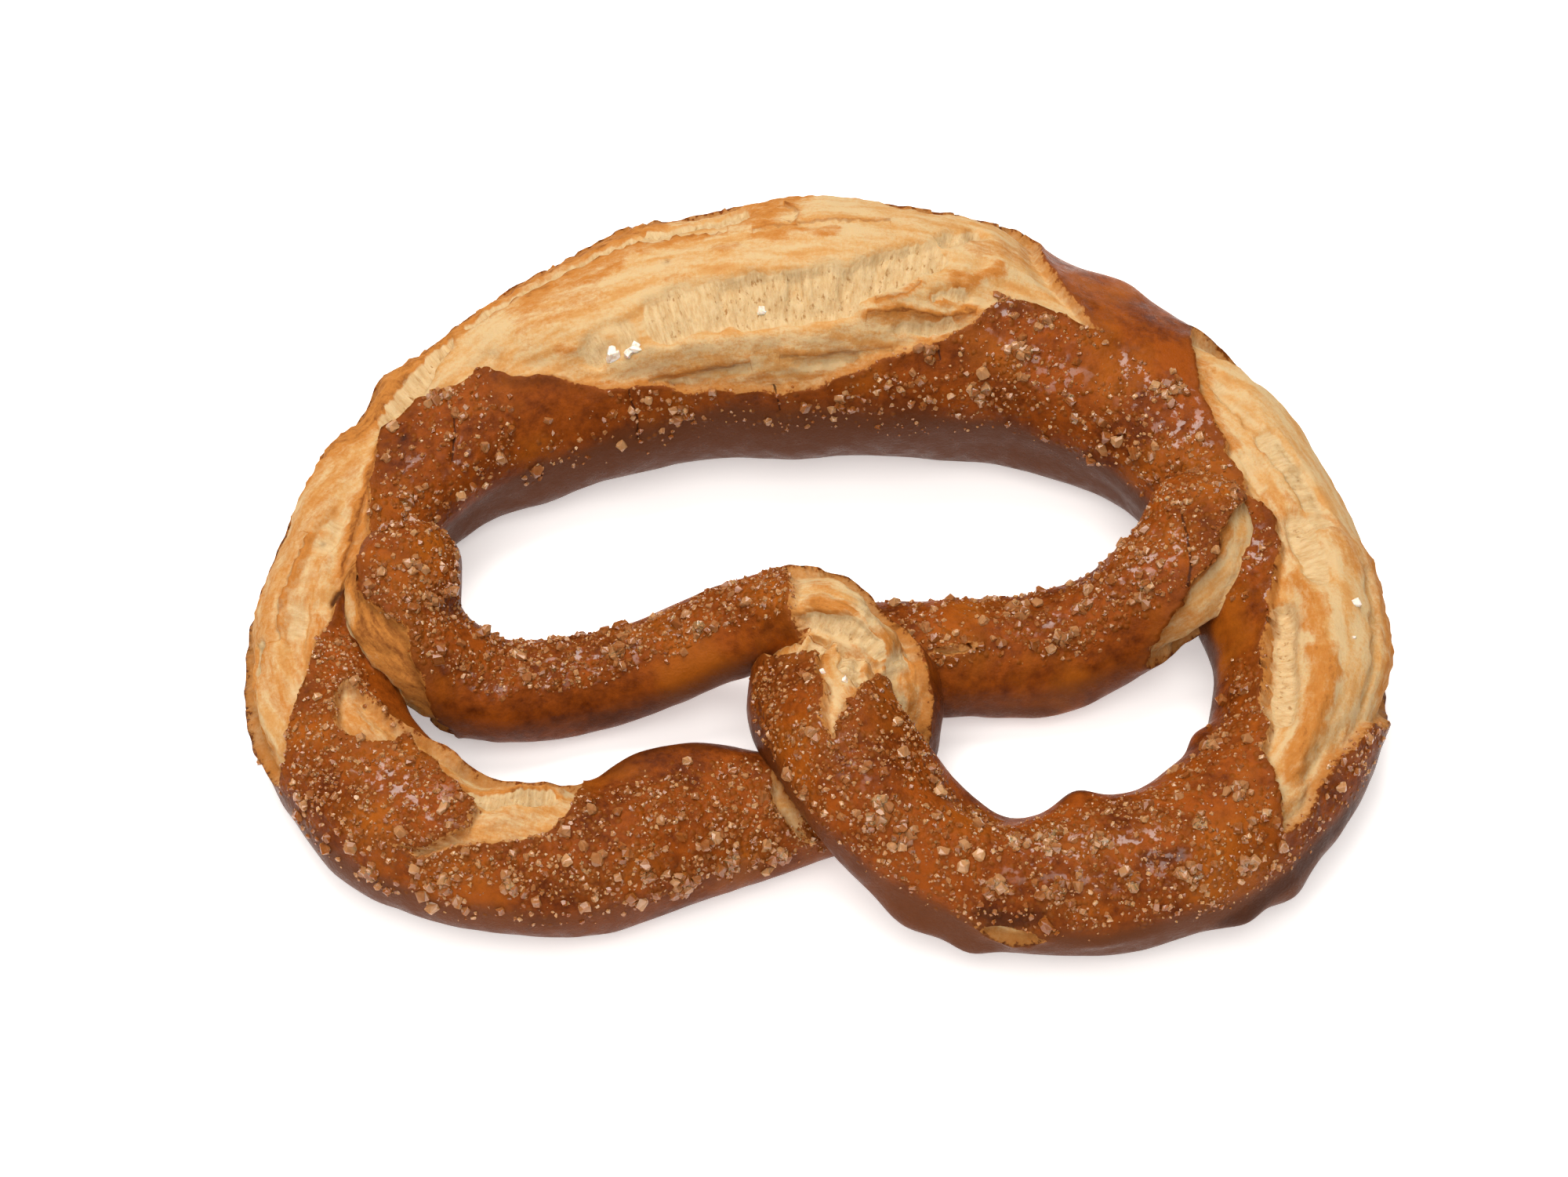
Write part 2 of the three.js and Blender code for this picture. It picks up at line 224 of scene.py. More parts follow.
FRONT_OVAL = [(498, 167), (500, 174.5), (504, 174.5), (506, 167), (504, 159.5), (500, 159.5)]
SPLITS = [
    BELLY_SPLIT, RIGHT_SPLIT, FRONT_SPLIT, TOP_TWIST_SPLIT, UNDER_TWIST_SPLIT, CROSSING_SPLIT,
    LEFT_KNOB_SPLIT, RIGHT_KNOB_SPLIT, ARM_TEAR, FRONT_OVAL,
]
OUTLINE_MARGIN = 12
FAR_FROM_SPLIT = -20.0
FAR_FROM_LINE = 4.0
LINE_REACH = 1.5
PAST_LINE_END = 0.02
STROKE_EDGE_INSIDE = 0.6
STROKE_EDGE_OUTSIDE = 0.4
LEAST_SQUARE = 1e-9


def flat_distance(points, closed, along, around, radius):
    """Distance to a line on the unrolled rope in millimetres, positive inside a closed one."""
    nearest = np.full(len(along), np.inf)
    inside = np.zeros(len(along), bool)
    scale = radius * DEGREE
    ends = points[1:] + points[:1] if closed else points[1:]
    for (start, turn), (end, next_turn) in zip(points, ends):
        edge_x = end - start
        edge_y = (next_turn - turn) * scale
        here_x = along - start
        here_y = (around - turn) * scale
        length = np.maximum(edge_x ** 2 + edge_y ** 2, LEAST_SQUARE)
        part = np.clip((here_x * edge_x + here_y * edge_y) / length, 0, 1)
        gap = (here_x - part * edge_x) ** 2 + (here_y - part * edge_y) ** 2
        nearest = np.minimum(nearest, gap)
        if closed and edge_x:
            spans = (along < start) != (along < end)
            inside ^= spans & (around < turn + (next_turn - turn) * here_x / edge_x)
    nearest = np.sqrt(nearest)
    return np.where(inside, nearest, -nearest) if closed else nearest


def near(points, along, margin):
    """Which places lie near a line's stretch of the rope."""
    places = [place for place, _ in points]
    return (along > min(places) - margin) & (along < max(places) + margin)


def largest_inside(outlines, along, around, radius):
    """How far inside the nearest of several outlines each place lies."""
    best = np.full(len(along), FAR_FROM_SPLIT)
    for outline in outlines:
        close = near(outline, along, OUTLINE_MARGIN)
        found = flat_distance(outline, True, along[close], around[close], radius[close])
        best[close] = np.maximum(best[close], found)
    return best


def stroke(points, half_width, along, around, radius, edge=1.0):
    """A soft stroke on the unrolled rope, 1 along its line and 0 outside its width."""
    amount = np.zeros(len(along))
    close = near(points, along, half_width * 2 + 1)
    gap = flat_distance(points, False, along[close], around[close], radius[close])
    inner = half_width * (1 - edge * STROKE_EDGE_INSIDE)
    outer = half_width * (1 + edge * STROKE_EDGE_OUTSIDE)
    amount[close] = 1 - smoothstep(gap, inner, outer)
    return amount


def strokes(lines, along, around, radius):
    """The strongest of many strokes, each with its line, half width and strength."""
    amount = np.zeros(len(along))
    for points, half_width, strength in lines:
        amount = np.maximum(amount, stroke(points, half_width, along, around, radius) * strength)
    return amount


def line_offset(lines, along, around, radius):
    """Distance to the nearest thin line, positive on its left, and a strength that fades from it."""
    nearest = np.full(len(along), FAR_FROM_LINE)
    strength = np.zeros(len(along))
    for points in lines:
        strength = np.maximum(strength, stroke(points, LINE_REACH, along, around, radius))
        for (start, turn), (end, next_turn) in zip(points, points[1:]):
            edge_x = end - start
            edge_y = (next_turn - turn) * radius * DEGREE
            here_x = along - start
            here_y = (around - turn) * radius * DEGREE
            length = np.sqrt(edge_x ** 2 + edge_y ** 2)
            part = (here_x * edge_x + here_y * edge_y) / length ** 2
            offset = (edge_x * here_y - edge_y * here_x) / length
            beyond = np.sign(offset) * FAR_FROM_LINE
            alongside = (part > -PAST_LINE_END) & (part < 1 + PAST_LINE_END)
            offset = np.where(alongside, offset, beyond)
            nearest = np.where(np.abs(offset) < np.abs(nearest), offset, nearest)
    return nearest, strength


# How edges wander: over how many millimetres, how far, and the seed of the draw
TORN_CRUST = (5.0, 1.1, 11)
TORN_CRUST_FINELY = (1.6, 0.45, 21)
TORN_CRUMB = (2.6, 0.7, 51)
TOAST_EDGE = (3.2, 1.2, 101)
BENT_LINE = (1.8, 0.25, 121)
GLAZE_EDGE = (3.0, 1.5, 131)


def ragged(plain, size, reach, seed):
    """How far an edge wanders along and around the rope, in millimetres."""
    return soft_noise(plain, size, seed) * reach, soft_noise(plain, size, seed + 1) * reach


def wandered(along, around, radius, plain, wander):
    """Places moved as the edge wanders that is drawn on them."""
    shift_along, shift_across = ragged(plain, *wander)
    return along + shift_along, around + shift_across / (radius * DEGREE)


def split_distance(along, around, radius, plain):
    """How far inside a split each place lies, with the ragged edge of torn crust."""
    along, around = wandered(along, around, radius, plain, TORN_CRUST)
    along, around = wandered(along, around, radius, plain, TORN_CRUST_FINELY)
    return largest_inside(SPLITS, along, around, radius)


# Torn places in the crumb: the line, its half width and its depth
TORN = [
    ([(287, 66), (293, 66), (298, 69)], 2.7, 0.9),
    ([(300, 68), (306, 68), (310, 67)], 4.0, 1.4),
    ([(313, 67), (321, 66), (328, 68)], 4.2, 2.2),
    ([(331, 72), (336, 80), (341, 90)], 3.0, 1.9),
    ([(343, 102), (346, 110), (347, 116)], 1.3, 1.7),
    ([(344, 73), (348, 77)], 1.0, 1.1),
    ([(339, 55), (344, 58), (349, 64)], 1.0, 1.2),
    ([(255, 120), (262, 122), (269, 124)], 1.5, 2.2),
    ([(274, 124), (284, 120), (292, 122), (300, 119)], 1.2, 1.7),
    ([(303, 122), (310, 120), (315, 116)], 1.7, 1.3),
    ([(336, 127), (340, 130)], 2.0, 1.3),
    ([(298, 35.5), (306, 35), (312, 37)], 0.8, 0.9),
    ([(321, 37.5), (327, 37), (332, 39)], 0.7, 0.8),
    ([(203, 166), (208, 153), (214, 141)], 1.4, 1.4),
    ([(222, 150), (234, 148), (246, 141)], 1.4, 0.8),
    ([(203, 114), (210, 112), (222, 104), (236, 100)], 1.6, 0.8),
    ([(262, 98), (268, 100), (272, 94)], 1.6, 0.7),
    ([(387, 116), (396, 112)], 1.4, 0.8),
    ([(400, 112), (408, 118), (416, 118)], 1.8, 1.2),
    ([(402, 95), (408, 93)], 1.3, 0.8),
    ([(415, 104), (421, 102), (426, 104)], 1.9, 1.3),
    ([(432, 76), (438, 74), (446, 76), (452, 84)], 2.0, 1.6),
    ([(424, 140), (434, 139), (444, 138)], 0.9, 0.7),
    ([(455, 120), (460, 118)], 1.2, 0.8),
    ([(160, 62), (165, 71), (169, 75), (174, 71)], 1.3, 1.8),
    ([(539, 58), (546, 60), (551, 66)], 1.8, 1.7),
    ([(548, 92), (554, 86)], 1.8, 1.8),
    ([(78, 44), (82, 58), (88, 68)], 1.7, 1.6),
    ([(81, 100), (86, 94), (92, 86)], 2.4, 0.95),
    ([(94, 78), (100, 92), (104, 108)], 1.6, 0.9),
    ([(84, 74), (90, 62)], 1.6, 0.8),
    ([(84, 122), (91, 116)], 1.3, 0.8),
    ([(3, 2), (9, 6), (14, 0)], 1.5, 1.1),
]

# Toasted places in the crumb: the line, its half width and how brown it is
TOASTED = [
    ([(201, 128), (210, 131), (222, 127)], 1.6, 0.7),
    ([(226, 74), (234, 80), (244, 92), (252, 106)], 2.4, 0.85),
    ([(205, 104), (212, 95), (218, 90)], 1.6, 0.8),
    ([(228, 134), (240, 132), (254, 128)], 1.8, 0.45),
    ([(200, 168), (206, 166), (222, 163), (236, 166)], 2.6, 0.8),
    ([(238, 152), (248, 142), (258, 136), (270, 134), (284, 136), (302, 134)], 4.0, 1.15),
    ([(240, 170), (262, 150), (284, 146), (300, 146)], 3.0, 0.95),
    ([(280, 107), (290, 110), (297, 113)], 1.7, 0.8),
    ([(290, 107), (293, 103), (296, 106)], 0.9, 0.9),
    ([(297, 113), (304, 109), (310, 107)], 1.1, 0.7),
    ([(310, 97), (314, 97)], 0.9, 0.75),
    ([(317, 98), (328, 96)], 1.1, 0.8),
    ([(280, 98), (290, 95)], 3.2, 0.45),
    ([(281, 74), (284, 71)], 0.8, 0.75),
    ([(302, 86), (306, 84)], 0.5, 0.6),
    ([(283, 52), (292, 48), (302, 46), (316, 46), (330, 49), (344, 60)], 2.6, 0.26),
    ([(283, 50), (289, 43), (300, 34), (310, 30), (320, 28), (330, 32), (340, 44), (351, 62)], 1.2, 0.66),
    ([(334, 66), (339, 71), (341, 76)], 0.9, 0.6),
    ([(333, 58), (340, 62), (346, 64), (351, 73)], 1.1, 0.8),
    ([(346, 80), (349, 85), (350, 90), (352, 96)], 1.1, 0.95),
    ([(344, 72), (347, 75)], 0.9, 0.9),
    ([(348, 104), (352, 110), (354, 122), (354, 138)], 2.4, 0.6),
    ([(317, 116), (320, 124), (324, 140)], 4.6, 0.95),
    ([(304, 134), (313, 134)], 3.0, 0.45),
    ([(330, 128), (336, 140)], 1.6, 0.5),
    ([(381, 122), (385, 108), (390, 96), (398, 88)], 1.8, 0.8),
    ([(384, 120), (387, 110)], 1.4, 0.7),
    ([(401, 106), (405, 116)], 1.4, 0.6),
    ([(408, 90), (414, 95), (421, 92)], 1.5, 0.5),
    ([(411, 104), (420, 106)], 1.0, 0.6),
    ([(417, 128), (425, 132)], 2.2, 0.6),
    ([(426, 86), (430, 92), (436, 94)], 1.6, 0.85),
    ([(440, 98), (448, 104), (456, 106), (460, 112)], 2.2, 0.95),
    ([(430, 101), (440, 98)], 1.2, 0.7),
    ([(421, 80), (430, 69), (440, 65), (450, 70)], 1.3, 0.8),
    ([(420, 152), (430, 156), (440, 160)], 2.8, 0.9),
    ([(448, 134), (456, 128), (463, 128)], 1.0, 0.6),
    ([(156, 60), (160, 84), (166, 98)], 2.6, 0.4),
    ([(164, 90), (168, 98), (170, 108)], 2.4, 0.5),
    ([(158, 52), (166, 64), (172, 70), (180, 58), (187, 46)], 1.6, 0.8),
    ([(190, 82), (194, 84), (199, 78)], 2.4, 0.7),
    ([(190, 62), (196, 66)], 1.8, 0.6),
    ([(534, 86), (538, 60), (543, 38)], 1.3, 0.7),
    ([(541, 34), (548, 36), (556, 40)], 1.8, 0.6),
    ([(536, 98), (543, 84), (546, 80)], 1.2, 0.6),
    ([(549, 118), (551, 140)], 1.8, 0.9),
    ([(546, 74), (552, 78)], 1.0, 0.5),
    ([(77, 60), (79, 90), (78, 112)], 1.4, 0.6),
    ([(79, 74), (84, 80), (90, 78)], 1.8, 1.0),
    ([(88, 104), (95, 100), (99, 112)], 1.5, 0.85),
    ([(86, 44), (94, 58), (100, 74)], 1.8, 0.6),
    ([(90, 112), (96, 116), (100, 122)], 1.6, 0.7),
    ([(87, 150), (92, 136), (100, 140)], 1.6, 0.95),
    ([(-2, 30), (6, 40), (9, 56), (13, 46), (17, 20)], 2.2, 0.8),
    ([(10, 52), (13, 36), (17, 18), (20, 0), (21, -20)], 3.4, 1.1),
    ([(2, 14), (8, 24)], 1.6, 0.5),
    ([(607, 12), (611, 31), (616, 45), (626, 53)], 1.2, 0.95),
    ([(606, -12), (609, 4), (613, 18)], 2.2, 0.7),
    ([(205, 112), (215, 106), (228, 98)], 2.0, 0.5),
    ([(206, 140), (220, 138), (234, 134)], 1.6, 0.55),
    ([(196, 150), (200, 134), (203, 118)], 1.6, 0.6),
    ([(236, 120), (246, 117)], 2.0, 0.5),
    ([(210, 148), (222, 132), (236, 116)], 4.0, 0.6),
    ([(216, 164), (232, 156), (248, 150)], 3.4, 0.65),
    ([(1, 36), (7, 42), (11, 42), (14, 32)], 2.6, 1.25),
]

# Cracks in the crust, grooved in the relief and darkened in the colour with painted shade
CRACKS = [
    [(289.6, 42), (289.2, 34), (289.5, 26), (288.4, 11)],
    [(316.6, 27), (316.9, 21), (317.4, 14)],
    [(262, 83), (259, 70), (255, 58)],
    [(624.5, 106), (622, 92), (619, 72), (615.5, 48)],
    [(346, 51), (347, 44)],
]

# Creases in the crumb, toasted on their left side and sharp on their right one, with a dark line along
# each that is partly toasting and partly painted shade in the groove
CREASES = [
    [(291, 41), (300, 40), (308, 39), (313, 40)],
    [(318, 41), (326, 40), (333, 42), (338, 46)],
    [(300, 116), (292, 118), (284, 115), (276, 118)],
    [(313, 107), (306, 110), (300, 115)],
    [(316, 104), (322, 102), (330, 103), (335, 107)],
    [(321, 118), (323, 110), (322, 101)],
    [(333, 58), (340, 62), (346, 64), (351, 72)],
    [(341, 76), (339, 70), (334, 65)],
    [(226, 77), (234, 83), (244, 95), (252, 109)],
    [(232, 112), (222, 116), (214, 122)],
    [(213, 141), (208, 152), (203, 165)],
    [(421, 78), (430, 68), (440, 64), (450, 71)],
    [(176, 69), (171, 74), (166, 69), (160, 58)],
    [(546, 82), (543, 90), (538, 100)],
]

# Burnt and bruised spots: the line, its half width and how dark it is
BURNT = [
    ([(221, 79), (223, 76)], 0.9, 0.8),
    ([(223, 75), (228, 71)], 0.5, 0.6),
    ([(231, 102), (231, 102.5)], 0.3, 0.8),
    ([(253, 93), (253.4, 93)], 0.5, 0.9),
    ([(499, 149), (502, 156), (505, 154)], 1.3, 0.65),
    ([(480, 116), (484, 112)], 1.2, 0.5),
    ([(129, 42), (137, 38), (147, 40)], 2.2, 0.5),
    ([(488, 34), (494, 36)], 1.4, 0.5),
    ([(40, -6), (56, -8), (70, -6)], 2.0, 0.35),
    ([(578, -14), (592, -18)], 2.0, 0.45),
    ([(456, 178), (466, 176), (476, 186)], 1.6, 0.6),
    ([(303, 95), (303, 95.5)], 0.4, 0.4),
]

# Glossy places in the crust: the line, its half width and how glossy it is
GLOSSY = [
    ([(376, 84), (386, 76), (394, 70)], 4.5, 1),
    ([(355, 74), (361, 68), (368, 62)], 4.0, 1),
    ([(416, 66), (424, 62), (432, 58)], 3.0, 1),
    ([(602, 106), (611, 100), (618, 96)], 3.5, 1),
    ([(16, 72), (32, 76), (48, 80)], 2.6, 1),
    ([(176, 104), (184, 98)], 3.5, 1),
    ([(482, 112), (492, 104), (502, 98)], 4.0, 1),
    ([(248, 64), (256, 58)], 3.0, 1),
    ([(586, 96), (596, 92)], 2.5, 1),
    ([(526, 100), (534, 116)], 2.5, 1),
]

# Dents and swellings: along, around, half length, half breadth, height
SWELLINGS = [
    (214, 164, 6, 5, -1.0),
    (232, 166, 8, 6, -0.8),
    (247, 153, 3, 3, 0.9),
    (254, 150, 3.5, 4, -0.8),
    (261, 146, 3, 3, 2.0),
    (276, 145, 18, 4, 1.2),
    (294, 141, 6, 4, 1.0),
    (302, 140, 5.5, 3.5, 2.5),
    (348, 144, 6, 4, 0.9),
    (368, 143, 5, 4, 1.5),
    (382, 148, 10, 5, 1.3),
    (252, -8, 19, 10, -4.6),
    (372, -12, 22, 10, -4.4),
    (171, 42, 7, 5, -2.6),
    (136, 40, 8, 4.5, 3.2),
    (144, 40, 6, 4, 2.2),
    (512, 48, 9, 5.5, -3.2),
    (12, 130, 4, 4, -1.6),
    (7, 8, 13, 8, 3.4),
    (0, 50, 6, 6, 1.0),
    (56, 122, 8, 3.5, -1.4),
    (86, 151, 6, 6, -3.4),
    (590, 140, 10, 4, 0.9),
    (606, 134, 5, 4, -1.6),
    (502, 170, 2.6, 1.6, 0.5),
    (490, 174, 5, 2.0, 1.0),
    (512, 204, 4, 3, 1.8),
    (505, 206, 2.5, 2.5, 1.2),
    (474, 192, 3.2, 2.6, 1.9),
    (467, 198, 3.5, 4, 1.9),
    (458, 18, 4, 3, 1.6),
    (491, 34, 5, 3.5, 2.3),
    (593, -30, 5, 3, 0.8),
    (622, 6, 9, 6, 0.9),
    (316, 134, 9, 4, 0.6),
]


# The relief of the dough, in millimetres. A list of noises holds a size, a height and a seed each

LIP_RISE = 0.75
LIP_REACH = 1.8
LIP_VARIES = 0.5
STEP_DEPTH = 1.35
STEP_REACH = 0.75
SWELL_REACH = 9
SWELL_RISE = 1.2
RELIEF_RADIUS = 5
TORN_EDGE = 0.45
DEEP_TEAR = 1.6
FIBROUS_FROM = 0.3
FIBROUS_FULL = 1.1
STRANDS_MEAN = 0.85
STRANDS_VARY = 0.35
COLUMNS_VARY = 0.5
STRANDS = (0.9, 7.0, 61)
COLUMNS_OF_CRUMB = (3.2, 30, 62)
TOASTED_RISE = 0.35
CRACK_DEPTH = 0.45
CRACK_REACH = 0.5
CREASE_RISE = 0.35
CREASE_REACH = 0.9
CREASE_WANDER = 2
GRAIN_RISE = 0.55
WAVES = [(4.1, 2), (7.3, -3)]
WAVE_HEIGHT = 0.175
CRUST_LUMPS = [(13.0, 0.45, 71), (4.5, 0.16, 72)]
WRINKLES = [(1.9, 0.10, 92), (3.6, 0.22, 94)]
LIP_NOISE = [(3.0, 1.0, 91)]
GRAIN_NOISE = [(1.5, 1.0, 93)]
TOASTED_NOISE = [(1.3, 0.35, 95)]
FLANK_NOISE = [(9.0, 0.10, 111)]
FLANK_STARTS = 0.42
FLANK_FULL = 0.16
ARM_FLANK = 0.45
RING_STARTS = (120, 190)
RING_ENDS = (500, 550)


def grain_across(along, across, along_size, across_size, seed):
    """Noise that is stretched around the rope."""
    flat = np.zeros(len(along))
    return soft_noise(np.column_stack([along / along_size, across / across_size, flat]), 1.0, seed)


def torn_crumb(along, around, radius, plain):
    """The depth of the torn places, and how fibrous each place in the crumb is."""
    depth = np.zeros(len(along))
    shifted, turned = wandered(along, around, radius, plain, TORN_CRUMB)
    for points, half_width, deep in TORN:
        depth = np.maximum(depth, stroke(points, half_width, shifted, turned, radius, TORN_EDGE) * deep)
    across = around * radius * DEGREE
    deep = depth * (1 + COLUMNS_VARY * grain_across(along, across, *COLUMNS_OF_CRUMB))
    strands = STRANDS_MEAN + STRANDS_VARY * grain_across(along, across, *STRANDS)
    return deep * strands, smoothstep(deep / DEEP_TEAR, FIBROUS_FROM, FIBROUS_FULL)


def swellings(along, around, radius):
    total = np.zeros(len(along))
    for place, turn, half_length, half_breadth, height in SWELLINGS:
        far_along = (along - place) / half_length
        far_across = (around - turn) * radius * DEGREE / half_breadth
        total += height * np.exp(-(far_along ** 2 + far_across ** 2))
    return total


def crust_lumps(along, around, plain):
    """The crust's unevenness, from broad lumps down to blisters."""
    waves = sum(np.sin(along / length + around * DEGREE * turns) for length, turns in WAVES)
    return WAVE_HEIGHT * waves + layered(plain, CRUST_LUMPS)


def crumb_relief(inside, lip, torn, toasted, plain):
    """The crumb's height below and above the crust, and how far past the lip's step it is."""
    step = smoothstep(inside, 0, STEP_REACH)
    swell = smoothstep(inside, STEP_REACH, SWELL_REACH)
    height = lip * (1 - step) - STEP_DEPTH * step * (1 - swell) + SWELL_RISE * swell
    height = height + (layered(plain, WRINKLES) - torn) * step
    return height + toasted * step * (TOASTED_RISE + layered(plain, TOASTED_NOISE)), step


def crust_relief(inside, lip, salted, plain):
    grains = np.abs(layered(plain, GRAIN_NOISE)) * GRAIN_RISE * salted
    return lip * np.exp(np.minimum(inside, 0) / LIP_REACH) + grains


def line_relief(crack, cracked, crease, creased, in_crumb):
    """Cracks as grooves, and creases as a rise on their toasted side and a drop on the other."""
    groove = CRACK_DEPTH * cracked * np.exp(-(crack / CRACK_REACH) ** 2)
    raised = np.exp(-np.abs(crease) / CREASE_REACH) * np.where(crease > 0, 1, -1)
    return CREASE_RISE * raised * in_crumb * creased - groove


def shaded_flank(along, around, plain):
    """The lower side of the rope, from 0 on top to 1 at the foot and fainter on the arms, where the
    colour holds painted shade and a purplish painted reflection of the table.
    """
    up = np.sin(around * DEGREE)
    low = 1 - smoothstep(up + layered(plain, FLANK_NOISE), FLANK_FULL, FLANK_STARTS)
    on_ring = smoothstep(along, *RING_STARTS) * (1 - smoothstep(along, *RING_ENDS))
    return low * (ARM_FLANK + (1 - ARM_FLANK) * on_ring)


# Where salt lies: from, to (along), from, to (around), crystals on a square centimetre, grains (0 to 1)
SALT_ZONES = [
    (-8, 16, 50, 165, 12, 0.8),
    (14, 76, 54, 140, 14, 0.9),
    (116, 152, 66, 165, 11, 0.8),
    (150, 214, 60, 150, 10, 0.95),
    (120, 206, 132, 176, 15, 0.25),
    (234, 268, 22, 98, 8, 0.4),
    (266, 352, 4, 42, 12, 0.2),
    (348, 384, 14, 86, 8, 0.35),
    (380, 426, 22, 82, 8, 0.45),
    (440, 474, 36, 165, 8, 0.5),
    (470, 512, 52, 165, 5, 0.6),
    (508, 546, 30, 165, 8, 0.7),
    (570, 612, 48, 150, 12, 0.6),
    (608, 634, 52, 165, 9, 0.7),
]
ZONE_EDGE_ALONG = 4
ZONE_EDGE_AROUND = 9
SALT_PATCHES = [(6.0, 1.0, 81), (2.4, 0.7, 82)]
CRYSTALS_VARY = 0.6
GRAINS_VARY = 0.9
CRYSTALS_CLEAR_OF_LIP = 0.3
GRAINS_OVER_LIP = 0.2


def between(value, low, high, edge):
    """1 from low to high and 0 beyond them, with soft edges."""
    return smoothstep(value, low - edge, low + edge) * (1 - smoothstep(value, high - edge, high + edge))


def salt_density(along, around, plain):
    """Crystals on a square centimetre, and how thickly the small grains lie, from 0 to 1."""
    crystals = np.zeros(len(along))
    grains = np.zeros(len(along))
    for start, end, low, high, coarse, fine in SALT_ZONES:
        fits = between(along, start, end, ZONE_EDGE_ALONG) * between(around, low, high, ZONE_EDGE_AROUND)
        crystals = np.maximum(crystals, fits * coarse)
        grains = np.maximum(grains, fits * fine)
    patches = layered(plain, SALT_PATCHES)
    crystals = crystals * np.maximum(0, 1 + CRYSTALS_VARY * patches)
    return crystals, np.clip(grains * (1 + GRAINS_VARY * patches), 0, 1)


def dough(along, around):
    """The rope's skin at places on the unrolled rope: points, and what the finish follows."""
    rope = rope_at(along)
    radius = mean_radius(rope)
    plain = plain_rope(rope, around)
    inside = split_distance(along, around, radius, plain)
    torn, fibrous = torn_crumb(along, around, radius, plain)
    crystals, salted = salt_density(along, around, plain)
    salted = salted * (inside < GRAINS_OVER_LIP)
    toasted = strokes(TOASTED, *wandered(along, around, radius, plain, TOAST_EDGE), radius)
    bent = ragged(plain, *BENT_LINE)
    crack, cracked = line_offset(CRACKS, along + bent[0], around, radius)
    turned = around + bent[1] * CREASE_WANDER / (radius * DEGREE)
    crease, creased = line_offset(CREASES, along, turned, radius)
    lip = LIP_RISE * (1 + LIP_VARIES * layered(plain, LIP_NOISE))
    crumb, step = crumb_relief(inside, lip, torn, toasted, plain)
    out = crust_lumps(along, around, plain) + swellings(along, around, radius)
    out = out + np.where(inside < 0, crust_relief(inside, lip, salted, plain), crumb)
    out = out + line_relief(crack, cracked, crease, creased, step)
    tip_fade = np.minimum(1, (rope.half_width + rope.half_height) / 2 / RELIEF_RADIUS)
    marks = {
        "split": inside,
        "fibrous": fibrous,
        "salted": salted,
        "crystals": crystals * (inside < -CRYSTALS_CLEAR_OF_LIP),
        "crack": crack,
        "cracked": cracked,
        "crease": crease,
        "creased": creased,
        "glossy": strokes(GLOSSY, *wandered(along, around, radius, plain, GLAZE_EDGE), radius),
        "toasted": toasted,
        "burnt": strokes(BURNT, along, around, radius),
        "shaded_flank": shaded_flank(along, around, plain),
        "around_mm": around * radius * DEGREE,
        "along_mm": along,
    }
    return place_on_rope(rope, around, out * tip_fade), marks


# The skin as a mesh

COLUMNS = 168
RING_RADIUS = 1
ROW_SPACING = 0.6
TIP_ROWS = 9
POLE_GAP = 0.35
UNDERSIDE = -90
SPARSE_SHARE = 0.045
SPARSE_ANGLE = 45
LIP_PULL = 0.32
PULL_NUDGE = 0.1
LEAST_SLOPE = 0.2
TRIANGLE_LIMIT = 194000
MERGE_DISTANCE = 0.01


def row_places(start, end):
    """Distances along the rope of a length's rows, closer together round a tip."""
    first = max(start, 0)
    last = min(end, LENGTH)
    places = np.linspace(first, last, round((last - first) / ROW_SPACING) + 1)
    past = np.sin(np.arange(1, TIP_ROWS + 1) / (TIP_ROWS + POLE_GAP) * math.pi / 2) * TIP_LENGTH
    if start < 0:
        places = np.concatenate([-past[::-1] * WIDTHS[0], places])
    if end > LENGTH:
        places = np.concatenate([places, LENGTH + past * WIDTHS[-1]])
    return places


def column_angles():
    shares = [0, SPARSE_SHARE, 1 - SPARSE_SHARE, 1]
    angles = [UNDERSIDE, UNDERSIDE + SPARSE_ANGLE, UNDERSIDE + 360 - SPARSE_ANGLE, UNDERSIDE + 360]
    return np.interp(np.arange(COLUMNS) / COLUMNS, shares, angles)


def drawn_to_edges(along, around):
    """Moves places that lie close to a split's edge onto it, so that the lip is clean."""
    radius = mean_radius(rope_at(along))
    turn = 1 / (radius * DEGREE)

    def distance(shift_along, shift_across):
        there = along + shift_along
        turned = around + shift_across * turn
        return split_distance(there, turned, radius, plain_rope(rope_at(there), turned))

    here = distance(0, 0)
    slope_along = (distance(PULL_NUDGE, 0) - here) / PULL_NUDGE
    slope_across = (distance(0, PULL_NUDGE) - here) / PULL_NUDGE
    steep = np.maximum(slope_along ** 2 + slope_across ** 2, LEAST_SLOPE)
    pull = np.where(np.abs(here) < LIP_PULL, -here / steep, 0)
    return along + pull * slope_along, around + pull * slope_across * turn


def tube(rows):
    """A closed cylinder with a ring of vertices for each row, and its ends fanned."""
    skin = bmesh.new()
    bmesh.ops.create_cone(
        skin, cap_ends=True, cap_tris=True, segments=COLUMNS, radius1=RING_RADIUS,
        radius2=RING_RADIUS, depth=2)
    uprights = [edge for edge in skin.edges if abs(edge.verts[0].co.z - edge.verts[1].co.z) > 1]
    bmesh.ops.subdivide_edges(skin, edges=uprights, cuts=rows - 2, use_grid_fill=True)
    return skin


def add_mark(mesh, name, values):
    mesh.attributes.new(name, "FLOAT", "POINT").data.foreach_set("value", values.astype(np.float32))


